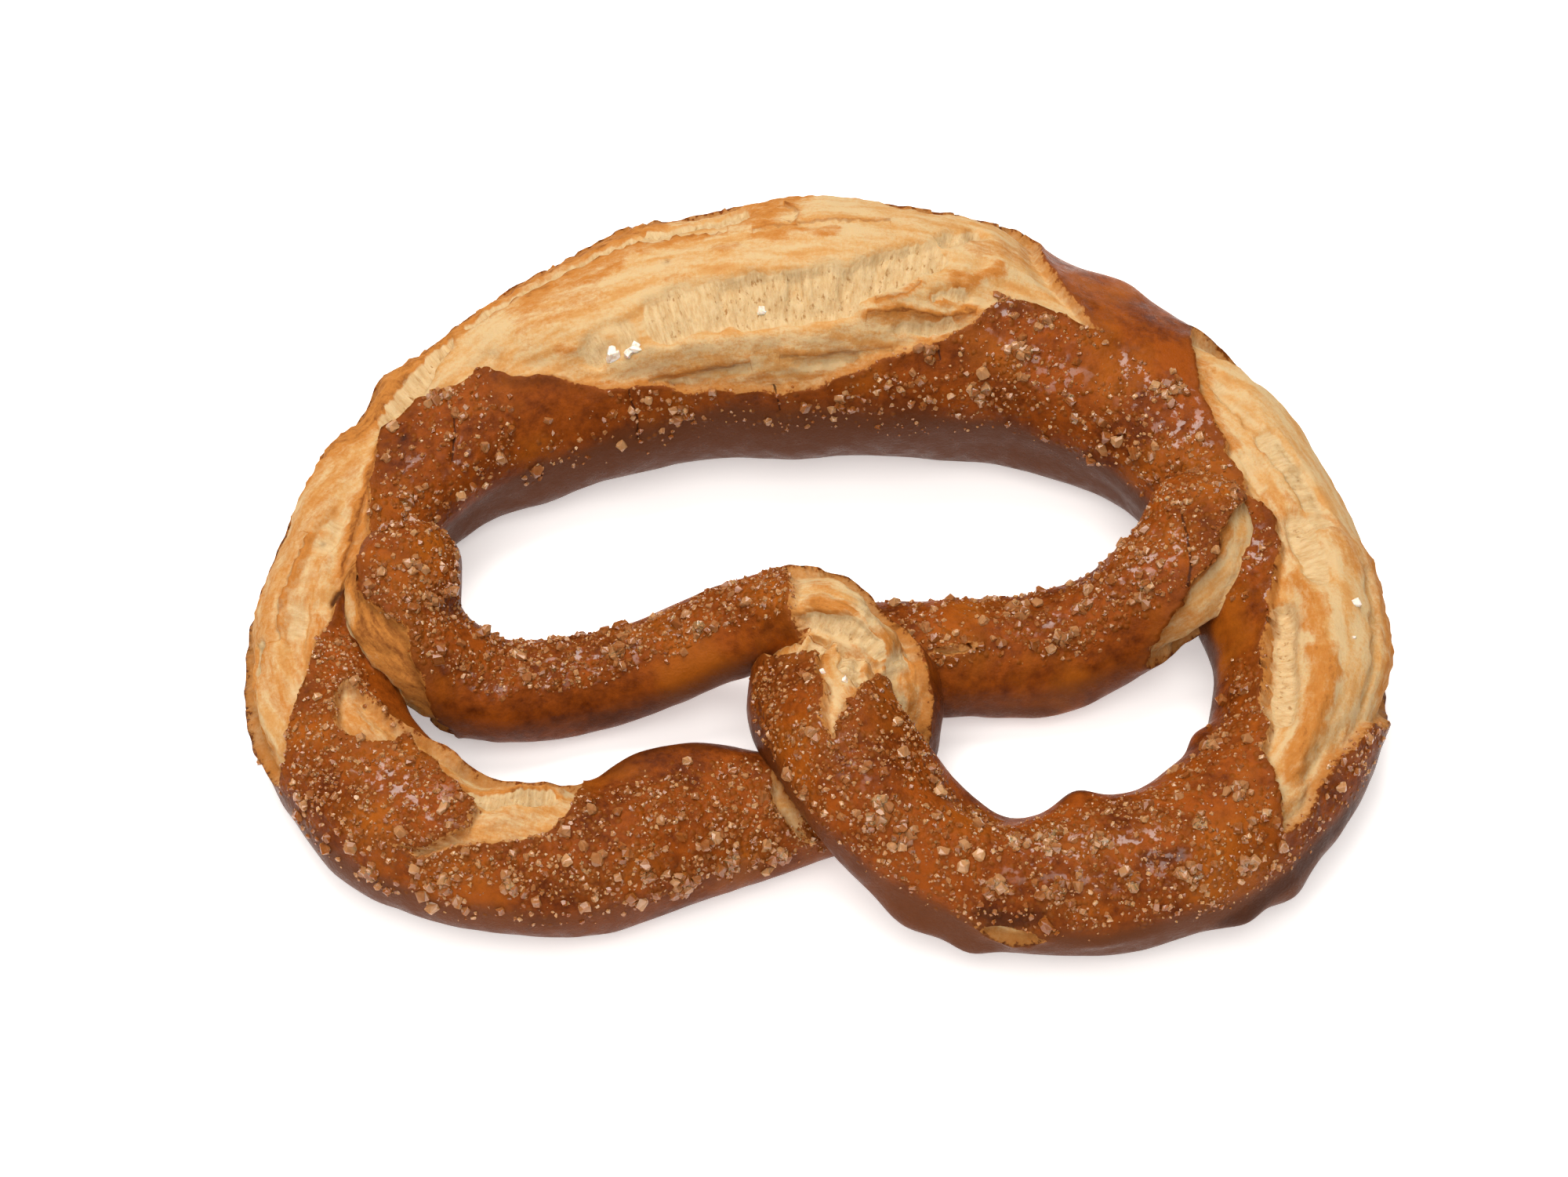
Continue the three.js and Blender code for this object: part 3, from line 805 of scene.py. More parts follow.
def rope_length(name, start, end):
    """A closed length of the rope, with its relief and the marks that its finish follows."""
    places = row_places(start, end)
    skin = tube(len(places))
    mesh = bpy.data.meshes.new(name)
    skin.to_mesh(mesh)
    skin.free()
    corners = np.empty(len(mesh.vertices) * 3, np.float32)
    mesh.vertices.foreach_get("co", corners)
    corners = corners.reshape(-1, 3).astype(float)
    row = np.round((corners[:, 2] + 1) / 2 * (len(places) - 1)).astype(int)
    turn = np.arctan2(corners[:, 1], corners[:, 0]) / (2 * math.pi)
    column = np.round(turn * COLUMNS).astype(int) % COLUMNS
    along = places[row]
    around = column_angles()[column]
    on_end = (row == 0) | (row == len(places) - 1)
    moved_along, moved_around = drawn_to_edges(along, around)
    along = np.where(on_end, along, moved_along)
    around = np.where(on_end, around, moved_around)
    points, marks = dough(along, around)
    middle = np.hypot(corners[:, 0], corners[:, 1]) < RING_RADIUS / 2
    points[middle] = rope_at(places[row[middle]]).middle
    mesh.vertices.foreach_set("co", (points * MM).astype(np.float32).ravel())
    for mark, values in marks.items():
        add_mark(mesh, mark, values)
    mesh.update()
    turned = bmesh.new()
    turned.from_mesh(mesh)
    bmesh.ops.recalc_face_normals(turned, faces=turned.faces)
    turned.to_mesh(mesh)
    turned.free()
    piece = bpy.data.objects.new(name, mesh)
    bpy.context.scene.collection.objects.link(piece)
    return piece


def applied(piece, modifier):
    """The piece's mesh with a modifier made permanent."""
    graph = bpy.context.evaluated_depsgraph_get()
    mesh = bpy.data.meshes.new_from_object(piece.evaluated_get(graph), depsgraph=graph)
    piece.modifiers.remove(modifier)
    old = piece.data
    piece.data = mesh
    bpy.data.meshes.remove(old)


def whole_skin():
    """The three lengths joined where they meet and cross."""
    ring = rope_length("pretzel_dough", FRONT_LEFT_JOIN, FRONT_RIGHT_JOIN)
    arms = [
        rope_length("left_arm", -1, FRONT_LEFT_JOIN),
        rope_length("right_arm", FRONT_RIGHT_JOIN, LENGTH + 1),
    ]
    group = bpy.data.collections.new("arms")
    for arm in arms:
        group.objects.link(arm)
    join = ring.modifiers.new("join", "BOOLEAN")
    join.operation = "UNION"
    join.operand_type = "COLLECTION"
    join.collection = group
    join.solver = "MANIFOLD"
    applied(ring, join)
    for arm in arms:
        bpy.data.objects.remove(arm)
    bpy.data.collections.remove(group)
    merged(ring.data)
    return ring


def merged(mesh):
    """Closes the seams where the lengths meet."""
    skin = bmesh.new()
    skin.from_mesh(mesh)
    bmesh.ops.remove_doubles(skin, verts=skin.verts, dist=MERGE_DISTANCE * MM)
    bmesh.ops.dissolve_degenerate(skin, edges=skin.edges, dist=MERGE_DISTANCE * MM)
    skin.to_mesh(mesh)
    skin.free()


def thinned(piece):
    """Fewer triangles where the skin is plain."""
    count = sum(len(face.vertices) - 2 for face in piece.data.polygons)
    if count > TRIANGLE_LIMIT:
        thin = piece.modifiers.new("thin", "DECIMATE")
        thin.ratio = TRIANGLE_LIMIT / count
        applied(piece, thin)
    return piece


# Salt

LUMP_SHAPES = 6
GRAIN_SQUARENESS = 0.62
GRAIN_JITTER = 0.2
CUBE_SIZE = 2.05
CUBE_BEVEL = 0.42
CUBE_JITTER = 0.18
STRETCH = (0.7, 1.15)
SALT_BEDDING = 0.12
SMALL_ONES = 2.0
WHITE_ONES_LEAN = (0.0, -0.5, 1.0)

# Kinds of salt: the mark that says where it lies, sizes in millimetres, how deep it sits, and how
# rare and how pale its pale ones are
CRYSTALS = {"name": "salt_crystals", "mark": "crystals", "smallest": 0.65, "largest": 1.7,
            "sink": 0.42, "tones": (1.7, 0.74), "seed": 8}
GRAINS = {"name": "salt_grains", "mark": "salted", "smallest": 0.45, "largest": 0.95,
          "sink": 0.44, "tones": (2.4, 0.75), "seed": 9, "count": 5200}
DUST = {"name": "salt_dust", "mark": "salted", "smallest": 0.25, "largest": 0.5,
        "sink": 0.35, "tones": (2.4, 0.75), "seed": 10, "count": 6500}
SCATTER_SEED = 7
SQUARE_CENTIMETRE = 100

# Rosettes of crystals grown together: along, around, half width
ROSETTES = [
    (496, 127, 2.0), (497, 86, 2.3), (489, 92, 1.7), (505, 126, 1.5), (518, 124, 1.9), (522, 131, 1.6),
    (523, 112, 1.5), (503, 89, 1.6), (486, 126, 1.4), (479, 132, 1.6), (473, 142, 1.7), (476, 98, 1.5),
    (135, 160, 1.8), (143, 168, 1.7), (137, 130, 1.4), (148, 144, 1.4), (163, 146, 1.3), (171, 150, 1.2),
    (180, 168, 1.4), (127, 166, 1.5), (361, 60, 1.9), (362, 78, 1.6), (355, 84, 1.6), (356, 34, 1.3),
    (385, 86, 2.0), (330, 20, 1.4), (299, 18, 1.4), (345, 46, 1.3), (245, 62, 1.5), (262, 96, 1.7),
    (30, 72, 1.3), (46, 78, 1.3), (60, 66, 1.2), (597, 66, 1.4), (603, 88, 1.4), (612, 76, 1.5),
    (590, 108, 1.4), (3, 100, 1.3), (8, 120, 1.3), (468, 96, 1.6), (462, 52, 1.4),
]
ROSETTE_PER_AREA = 1.5
ROSETTE_SPREAD = 0.5
ROSETTE_REACH = 1.6
OFF_UPRIGHT = 0.01
ROSETTE_SIZES = (0.7, 1.5)
ROSETTE_TONES = (1.6, 0.64)

# White crystals that fell into the splits: along, around, size
WHITE_CRYSTALS = [
    (289.5, 61, 1.9), (292.0, 58, 1.5), (293.6, 60, 1.7), (316.0, 63, 1.2), (538.6, 73, 1.0),
    (541.5, 88, 0.9), (431.0, 122, 1.2), (436.5, 120, 0.6),
]


class Skin:
    """The finished skin's triangles, for laying salt on them."""

    def __init__(self, mesh):
        mesh.calc_loop_triangles()
        corners = np.empty(len(mesh.loop_triangles) * 3, np.int32)
        mesh.loop_triangles.foreach_get("vertices", corners)
        self.corners = corners.reshape(-1, 3)
        self.points = self.read(mesh.vertices, "co", 3) / MM
        self.normals = self.read(mesh.vertex_normals, "vector", 3)
        self.marks = {a.name: self.read(a.data, "value", 1)[:, 0] for a in mesh.attributes
                      if a.data_type == "FLOAT" and a.domain == "POINT"}
        a, b, c = (self.points[self.corners[:, k]] for k in range(3))
        self.areas = np.linalg.norm(np.cross(b - a, c - a), axis=1) / 2

    @staticmethod
    def read(items, name, size):
        values = np.empty(len(items) * size, np.float32)
        items.foreach_get(name, values)
        return values.reshape(-1, size).astype(float)

    def spread(self, mark):
        """Each triangle's area times its mark."""
        return self.areas * self.marks[mark][self.corners].mean(axis=1)

    def scatter(self, mark, count, draw):
        """Random places, thick where the mark is high: points and normals."""
        weight = self.spread(mark)
        chosen = draw.choice(len(weight), count, p=weight / weight.sum())
        part = draw.dirichlet((1, 1, 1), count)[:, :, None]
        points = (self.points[self.corners[chosen]] * part).sum(axis=1)
        normals = unit((self.normals[self.corners[chosen]] * part).sum(axis=1))
        return points, normals


def jittered(shape, squareness, jitter, draw):
    """A shape's vertices, each moved a little, and its triangles."""
    points = np.array([vertex.co for vertex in shape.verts])
    points = np.sign(points) * np.abs(points) ** squareness
    points = points + draw.normal(size=points.shape) * jitter
    faces = np.array([[vertex.index for vertex in face.verts] for face in shape.faces])
    shape.free()
    return points, faces


def small_grain(draw):
    """A rounded grain, two units across."""
    ball = bmesh.new()
    bmesh.ops.create_icosphere(ball, subdivisions=1, radius=1)
    return jittered(ball, GRAIN_SQUARENESS, GRAIN_JITTER, draw)


def worn_cube(draw):
    """A large crystal, two units across."""
    cube = bmesh.new()
    bmesh.ops.create_cube(cube, size=CUBE_SIZE)
    bmesh.ops.bevel(
        cube, geom=cube.edges[:], offset=CUBE_BEVEL, offset_type="OFFSET", segments=1, profile=0.5,
        affect="EDGES", material=-1)
    bmesh.ops.triangulate(cube, faces=cube.faces[:])
    return jittered(cube, 1, CUBE_JITTER, draw)


def random_turns(count, draw):
    """Random rotations, as matrices."""
    x, y, z, w = unit(draw.normal(size=(count, 4))).T
    return np.array([
        [1 - 2 * (y * y + z * z), 2 * (x * y - z * w), 2 * (x * z + y * w)],
        [2 * (x * y + z * w), 1 - 2 * (x * x + z * z), 2 * (y * z - x * w)],
        [2 * (x * z - y * w), 2 * (y * z + x * w), 1 - 2 * (x * x + y * y)],
    ]).transpose(2, 0, 1)


def salt_piece(kind, shape_of, places, sizes, tones):
    """One mesh of many crystals, each with a size, a turn and a tone of its own."""
    draw = np.random.default_rng(kind["seed"])
    points, normals = places
    shapes = [shape_of(draw) for _ in range(LUMP_SHAPES)]
    turns = random_turns(len(points), draw)
    stretch = draw.uniform(*STRETCH, (len(points), 1, 3))
    rise = sizes * (0.5 - kind["sink"]) - SALT_BEDDING
    middles = points + normals * rise[:, None]
    vertices = []
    faces = []
    tone = []
    start = 0
    for number, (shape, triangles) in enumerate(shapes):
        mine = np.arange(len(points)) % LUMP_SHAPES == number
        count = mine.sum()
        sized = shape[None] * stretch[mine] * sizes[mine][:, None, None] / 2
        turned = np.einsum("nij,nkj->nki", turns[mine], sized)
        vertices.append((turned + middles[mine][:, None, :]).reshape(-1, 3))
        first = start + np.arange(count)[:, None, None] * len(shape)
        faces.append((triangles[None] + first).reshape(-1, 3))
        tone.append(np.repeat(tones[mine], len(shape)))
        start += count * len(shape)
    return mesh_piece(kind["name"], np.concatenate(vertices), np.concatenate(faces), np.concatenate(tone))


def mesh_piece(name, vertices, faces, tone):
    """A piece from arrays of triangles, with its crystals' tones."""
    mesh = bpy.data.meshes.new(name)
    mesh.vertices.add(len(vertices))
    mesh.vertices.foreach_set("co", (vertices * MM).astype(np.float32).ravel())
    mesh.loops.add(faces.size)
    mesh.loops.foreach_set("vertex_index", faces.astype(np.int32).ravel())
    mesh.polygons.add(len(faces))
    mesh.polygons.foreach_set("loop_start", np.arange(0, faces.size, 3, dtype=np.int32))
    mesh.update(calc_edges=True)
    mesh.polygons.foreach_set("use_smooth", [False] * len(faces))
    add_mark(mesh, "tone", tone)
    piece = bpy.data.objects.new(name, mesh)
    bpy.context.scene.collection.objects.link(piece)
    return piece


def rosette_places(skin, draw):
    """Places packed together in each rosette."""
    points = []
    normals = []
    for along, around, half_width in ROSETTES:
        count = round(ROSETTE_PER_AREA * math.pi * half_width ** 2)
        offset = draw.normal(size=(count, 2)) * half_width * ROSETTE_SPREAD
        centre = dough(np.array([along]), np.array([around]))[0][0]
        near_skin = np.linalg.norm(skin.points - centre, axis=1) < half_width * ROSETTE_REACH
        spots = skin.points[near_skin]
        ways = skin.normals[near_skin]
        if not len(spots):
            continue
        outward = ways.mean(axis=0)
        across = unit(np.cross([outward], UP + OFF_UPRIGHT))[0]
        over = unit(np.cross([outward], [across]))[0]
        for step in offset:
            wish = centre + across * step[0] + over * step[1]
            closest = np.linalg.norm(spots - wish, axis=1).argmin()
            points.append(spots[closest])
            normals.append(ways[closest])
    return np.array(points), np.array(normals)


def sizes_between(kind, count, draw):
    """Sizes with many small ones and few large ones."""
    return kind["smallest"] + (kind["largest"] - kind["smallest"]) * draw.random(count) ** SMALL_ONES


def drawn_tones(tones, count, draw):
    """Tones from 0, brown, up to the palest, which is rare."""
    rarity, palest = tones
    return draw.random(count) ** rarity * palest


def crystal_piece(skin, draw):
    """Loose crystals, rosettes, and the white ones in the splits."""
    mark = CRYSTALS["mark"]
    loose = skin.scatter(mark, round(skin.spread(mark).sum() / SQUARE_CENTIMETRE), draw)
    grown = rosette_places(skin, draw)
    along, around, white_sizes = (np.array(column) for column in zip(*WHITE_CRYSTALS))
    fallen = dough(along, around)[0]
    lean = np.tile(unit(np.array([WHITE_ONES_LEAN])), (len(fallen), 1))
    places = np.concatenate([loose[0], grown[0], fallen]), np.concatenate([loose[1], grown[1], lean])
    loose_sizes = sizes_between(CRYSTALS, len(loose[0]), draw)
    grown_sizes = draw.uniform(*ROSETTE_SIZES, len(grown[0]))
    loose_tones = drawn_tones(CRYSTALS["tones"], len(loose[0]), draw)
    grown_tones = drawn_tones(ROSETTE_TONES, len(grown[0]), draw)
    sizes = np.concatenate([loose_sizes, grown_sizes, white_sizes])
    tones = np.concatenate([loose_tones, grown_tones, np.ones(len(fallen))])
    return salt_piece(CRYSTALS, worn_cube, places, sizes, tones)


def grain_piece(kind, skin, draw):
    places = skin.scatter(kind["mark"], kind["count"], draw)
    tones = drawn_tones(kind["tones"], kind["count"], draw)
    return salt_piece(kind, small_grain, places, sizes_between(kind, kind["count"], draw), tones)


def dressed(piece, material):
    """Gives a piece its finish, hangs it on the root, and hides the solid's pretzel part."""
    piece.data.materials.clear()
    piece.data.materials.append(material)
    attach(piece, "root")
    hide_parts("pretzel")


def add_salt(skin_piece):
    skin = Skin(skin_piece.data)
    draw = np.random.default_rng(SCATTER_SEED)
    pieces = [crystal_piece(skin, draw), grain_piece(GRAINS, skin, draw), grain_piece(DUST, skin, draw)]
    material = salt_material()
    for piece in pieces:
        dressed(piece, material)


# Finishes

def new_material(name, constants):
    material = bpy.data.materials.new(name)
    material.use_nodes = True
    shader = material.node_tree.nodes["Principled BSDF"]
    for socket, value in constants.items():
        shader.inputs[socket].default_value = value
    return material, Nodes(material.node_tree), shader


class Nodes:
    """Short calls for a material's nodes."""

    def __init__(self, tree):
        self.tree = tree

    def put(self, kind, inputs=(), **settings):
        node = self.tree.nodes.new(kind)
        for key, value in settings.items():
            setattr(node, key, value)
        for key, value in dict(inputs).items():
            if isinstance(value, bpy.types.NodeSocket):
                self.tree.links.new(value, node.inputs[key])
            else:
                node.inputs[key].default_value = value
        return node

    def mark(self, name):
        return self.put("ShaderNodeAttribute", attribute_name=name).outputs["Fac"]

    def sum(self, first, second, operation="ADD"):
        return self.put("ShaderNodeMath", {0: first, 1: second}, operation=operation).outputs[0]

    def product(self, first, second):
        return self.sum(first, second, "MULTIPLY")

    def away(self, value):
        """The value without its sign."""
        return self.sum(value, 0.0, "ABSOLUTE")

    def scaled(self, value, low, high, to_low=0.0, to_high=1.0):
        inputs = {"Value": value, "From Min": low, "From Max": high, "To Min": to_low, "To Max": to_high}
        return self.put("ShaderNodeMapRange", inputs, clamp=True).outputs["Result"]

    def mix(self, amount, first, second, blend="MIX"):
        inputs = {0: amount, 6: first, 7: second}
        return self.put("ShaderNodeMix", inputs, data_type="RGBA", blend_type=blend).outputs[2]

    def noise(self, place, per_metre, detail=3.0, rough=0.55):
        inputs = {"Vector": place, "Scale": per_metre, "Detail": detail, "Roughness": rough}
        return self.put("ShaderNodeTexNoise", inputs).outputs["Fac"]

    def wobble(self, noise, reach):
        """Noise as a shift to either side."""
        return self.scaled(noise, *NOISE_RANGE, -reach, reach)


DEEP_BROWN = (0.085, 0.015, 0.001, 1)
ORANGE_BROWN = (0.250, 0.053, 0.004, 1)
AMBER_BROWN = (0.335, 0.088, 0.006, 1)
# Painted shade and a purplish painted reflection of the table, for the rope's lower side
SHADED_FLANK_BROWN = (0.100, 0.030, 0.010, 1)
FROSTED_BROWN = (0.19, 0.055, 0.009, 1)
# Burnt spots, and the painted shade in the cracks
BURNT_AND_CRACK_SHADE_BROWN = (0.026, 0.007, 0.003, 1)
EDGE_ORANGE = (0.34, 0.125, 0.025, 1)
EDGE_BROWN = (0.15, 0.038, 0.006, 1)
PALE_CRUMB = (0.53, 0.365, 0.185, 1)
TAN_CRUMB = (0.50, 0.262, 0.088, 1)
ORANGE_CRUMB = (0.42, 0.16, 0.032, 1)
# Deeply toasted crumb, also used for the painted shade along the creases
TOASTED_AND_SHADED_CRUMB = (0.20, 0.062, 0.012, 1)
STRAND_SHADE = (0.46, 0.285, 0.125, 1)
STRAND_PALE = (0.56, 0.40, 0.215, 1)
PORE_SHADE = (0.31, 0.16, 0.055, 1)
CRUMB_SCATTER = 0.22

# How many waves each pattern has on a metre
DARK_PATCHES = 90
AMBER_PATCHES = 75
CRUST_MOTTLES = 620
CRUMB_MOTTLES = 1500
SATIN_PATCHES = 420
GLAZE_SPARKLES = 650
SMALL_GRAINS = 1050
SURFACE_GRAIN = 1100
SURFACE_PITS = 2600
SALT_CLOUDS = 900

DOUGH_SHADER = {
    "Specular IOR Level": 0.06, "Coat Roughness": 0.12,
    "Subsurface Radius": (1.0, 0.5, 0.22), "Subsurface Scale": 0.0009,
}
BUMP_DISTANCE = 0.0004
NOISE_RANGE = (0.3, 0.7)

# Where a colour or finish fades in: the value it starts at and the value it is full at, and then,
# where they aren't 0 and 1, the amounts at both
ORANGE_IN_CRUST = (0.38, 0.60)
AMBER_IN_CRUST = (0.50, 0.66, 0, 0.6)
CRUST_BY_LIP = (-2.0, -0.2)
CRUST_TO_CRUMB = (-0.05, 0.12)
RIM_OF_CRUMB = (1.3, 0.1)
TAN_IN_CRUMB = (0.40, 0.60)
ORANGE_IN_STREAKS = (0.58, 0.78, 0, 0.6)
LIGHTLY_TOASTED = (0.2, 0.95)
DARKLY_TOASTED = (1.05, 1.5)
PAST_CREASE = (0.0, 0.12)
UP_TO_CREASE = (1.7, 0.1)
# The dark line along a crease: partly toasting, partly painted shade in its groove
TOASTED_AND_SHADED_CREASE_LINE = (0.34, 0.08, 0, 0.42)
# The cracks' painted shade
SHADED_CRACK_LINE = (0.25, 0.08, 0, 0.8)
STRANDS_SHOW = (0.16, 0.36)
PALE_STRANDS = (0.36, 0.6)
PORES = (0.42, 0.32)
PORES_SHOW = (0.45, 1.0)
GRAINS_PRESENT = (-0.02, 0.08)
GRAIN_DOME = (0.6, 0.2)
SPARKLE = (0.54, 0.6)
SATIN = (0.38, 0.62, 0.26, 0.46)
BUMP_UNDER_GLAZE = (0, 1, 0.5, 0.12)

# How strong each one is
FROST_AMOUNT = 0.75
LIP_AMOUNT = 0.5
RIM_AMOUNT = 0.9
TOASTED_BY_BURNS = 1.8
TOASTED_BY_CREASES = 0.6
CRUMB_ROUGHNESS = 0.75
PIT_BUMPS = 0.5
GRAIN_BUMPS = 1.6
STRAND_BUMPS = 1.8

# How far the fine noises shift the edge of each one
TAN_SHIFT = 0.10
TOASTED_SHIFT = 0.16
PATCHES_SHIFT = 0.34
STRANDS_SHIFT = 0.08
LIP_SHIFT = 0.35
CRACK_SHIFT = 0.1

# Streaks on the unrolled rope: millimetres along it and around it, detail and roughness
TAN_STREAKS = (9.0, 2.2, 3, 0.55)
TOASTED_STREAKS = (2.6, 0.9, 4, 0.65)
STRAND_STREAKS = (0.75, 2.6, 5, 0.68)
PORE_STREAKS = (0.75, 1.5, 3, 0.6)


def crust_colour(nodes, place, grain):
    broad = nodes.noise(place, DARK_PATCHES, 2)
    mottles = nodes.noise(place, CRUST_MOTTLES, 5, 0.65)
    dark = nodes.sum(nodes.product(broad, 0.5), nodes.product(mottles, 0.5))
    colour = nodes.mix(nodes.scaled(dark, *ORANGE_IN_CRUST), DEEP_BROWN, ORANGE_BROWN)
    amber = nodes.scaled(nodes.noise(place, AMBER_PATCHES, 3), *AMBER_IN_CRUST)
    colour = nodes.mix(amber, colour, AMBER_BROWN)
    # The lower side takes painted shade and a purplish painted reflection of the table
    colour = nodes.mix(nodes.mark("shaded_flank"), colour, SHADED_FLANK_BROWN)
    colour = nodes.mix(nodes.product(grain, FROST_AMOUNT), colour, FROSTED_BROWN)
    near_lip = nodes.scaled(nodes.mark("split"), *CRUST_BY_LIP)
    return nodes.mix(nodes.product(near_lip, LIP_AMOUNT), colour, EDGE_BROWN)


def streaked(nodes, along_size, around_size, detail, rough):
    """Noise on the unrolled rope, stretched along it or around it; the sizes are in millimetres."""
    along = nodes.product(nodes.mark("along_mm"), 1 / along_size)
    around = nodes.product(nodes.mark("around_mm"), 1 / around_size)
    place = nodes.put("ShaderNodeCombineXYZ", {"X": along, "Y": around})
    return nodes.noise(place.outputs[0], 1.0, detail, rough)


def plain_crumb(nodes, mottles):
    """Pale crumb with tan and orange streaks along the rope."""
    tanned = nodes.sum(streaked(nodes, *TAN_STREAKS), nodes.wobble(mottles, TAN_SHIFT))
    colour = nodes.mix(nodes.scaled(tanned, *TAN_IN_CRUMB), PALE_CRUMB, TAN_CRUMB)
    return nodes.mix(nodes.scaled(tanned, *ORANGE_IN_STREAKS), colour, ORANGE_CRUMB)


def toasted_amount(nodes, mottles, patchy):
    """How toasted the crumb is: on its strokes, in burnt spots and beside its creases."""
    brown = nodes.sum(nodes.mark("toasted"), nodes.product(nodes.mark("burnt"), TOASTED_BY_BURNS))
    brown = nodes.sum(brown, patchy)
    brown = nodes.sum(brown, nodes.wobble(mottles, TOASTED_SHIFT))
    crease = nodes.mark("crease")
    beside = nodes.product(nodes.scaled(crease, *PAST_CREASE), nodes.scaled(crease, *UP_TO_CREASE))
    beside = nodes.product(beside, nodes.mark("creased"))
    return nodes.sum(brown, nodes.product(beside, TOASTED_BY_CREASES))


def crumb_colour(nodes, place):
    mottles = nodes.noise(place, CRUMB_MOTTLES, 4, 0.75)
    patchy = nodes.wobble(streaked(nodes, *TOASTED_STREAKS), PATCHES_SHIFT)
    brown = toasted_amount(nodes, mottles, patchy)
    colour = nodes.mix(nodes.scaled(brown, *LIGHTLY_TOASTED), plain_crumb(nodes, mottles), ORANGE_CRUMB)
    # A dark line along each crease: partly toasted crumb, partly painted shade in the groove
    line = nodes.scaled(nodes.sum(nodes.away(nodes.mark("crease")), patchy), *TOASTED_AND_SHADED_CREASE_LINE)
    colour = nodes.mix(nodes.product(line, nodes.mark("creased")), colour, TOASTED_AND_SHADED_CRUMB)
    colour = nodes.mix(nodes.scaled(brown, *DARKLY_TOASTED), colour, TOASTED_AND_SHADED_CRUMB)
    torn = nodes.sum(nodes.mark("fibrous"), nodes.wobble(mottles, STRANDS_SHIFT))
    return nodes.mix(nodes.scaled(torn, *STRANDS_SHOW), colour, strand_colour(nodes))


def strand_colour(nodes):
    strands = streaked(nodes, *STRAND_STREAKS)
    colour = nodes.mix(nodes.scaled(strands, *PALE_STRANDS), STRAND_SHADE, STRAND_PALE)
    pores = nodes.scaled(streaked(nodes, *PORE_STREAKS), *PORES)
    depth = nodes.scaled(nodes.mark("fibrous"), *PORES_SHOW)
    return nodes.mix(nodes.product(pores, depth), colour, PORE_SHADE)


def embedded_grains(nodes, place):
    """Grains of salt baked into the crust, one to a cell, where salt lies thickly."""
    inputs = {"Vector": place, "Scale": SMALL_GRAINS, "Randomness": 1.0}
    cells = nodes.put("ShaderNodeTexVoronoi", inputs, feature="F1")
    drawn = nodes.put("ShaderNodeSeparateColor", {"Color": cells.outputs["Color"]}).outputs[0]
    present = nodes.scaled(nodes.sum(nodes.mark("salted"), drawn, "SUBTRACT"), *GRAINS_PRESENT)
    dome = nodes.scaled(cells.outputs["Distance"], *GRAIN_DOME)
    return nodes.product(present, dome)


def dough_colour(nodes, place, fine, edge, in_crumb, grain):
    """Crust and crumb with the split's orange rim, burnt spots, and painted shade in the cracks."""
    rim = nodes.product(nodes.scaled(edge, *RIM_OF_CRUMB), RIM_AMOUNT)
    crumb = nodes.mix(rim, crumb_colour(nodes, place), EDGE_ORANGE)
    colour = nodes.mix(in_crumb, crust_colour(nodes, place, grain), crumb)
    colour = nodes.mix(nodes.mark("burnt"), colour, BURNT_AND_CRACK_SHADE_BROWN)
    # Painted shade: the cracks' grooves are darkened in the colour
    crack = nodes.sum(nodes.away(nodes.mark("crack")), nodes.wobble(fine, CRACK_SHIFT))
    crack = nodes.product(nodes.scaled(crack, *SHADED_CRACK_LINE), nodes.mark("cracked"))
    return nodes.mix(crack, colour, BURNT_AND_CRACK_SHADE_BROWN)


def dough_relief(nodes, place, fine, in_crumb, grain, glaze):
    """Bumps too small for the mesh; the glaze smooths them."""
    pits = nodes.product(nodes.noise(place, SURFACE_PITS, 4, 0.7), PIT_BUMPS)
    height = nodes.sum(nodes.sum(fine, pits), nodes.product(grain, GRAIN_BUMPS))
    strands = nodes.product(streaked(nodes, *STRAND_STREAKS), STRAND_BUMPS)
    strands = nodes.product(nodes.mark("fibrous"), strands)
    height = nodes.sum(height, nodes.product(strands, in_crumb))
    strength = nodes.scaled(glaze, *BUMP_UNDER_GLAZE)
    inputs = {"Height": height, "Strength": strength, "Distance": BUMP_DISTANCE}
    return nodes.put("ShaderNodeBump", inputs).outputs["Normal"]


def dough_material():
    material, nodes, shader = new_material("baked_crust_and_crumb", DOUGH_SHADER)
    place = nodes.put("ShaderNodeTexCoord").outputs["Object"]
    fine = nodes.noise(place, SURFACE_GRAIN, 5, 0.65)
    edge = nodes.sum(nodes.mark("split"), nodes.wobble(fine, LIP_SHIFT))
    in_crumb = nodes.scaled(edge, *CRUST_TO_CRUMB)
    on_crust = nodes.sum(1.0, in_crumb, "SUBTRACT")
    grain = nodes.product(embedded_grains(nodes, place), on_crust)
    sparkles = nodes.scaled(nodes.noise(place, GLAZE_SPARKLES, 3), *SPARKLE)
    glaze = nodes.product(nodes.product(nodes.mark("glossy"), sparkles), on_crust)
    satin = nodes.scaled(nodes.noise(place, SATIN_PATCHES, 4), *SATIN)
    rough = nodes.sum(nodes.product(satin, on_crust), nodes.product(in_crumb, CRUMB_ROUGHNESS))
    links = {
        "Base Color": dough_colour(nodes, place, fine, edge, in_crumb, grain),
        "Roughness": rough,
        "Coat Weight": glaze,
        "Subsurface Weight": nodes.product(in_crumb, CRUMB_SCATTER),
        "Normal": dough_relief(nodes, place, fine, in_crumb, grain, glaze),
    }
    for socket, value in links.items():
        nodes.tree.links.new(value, shader.inputs[socket])
    return material


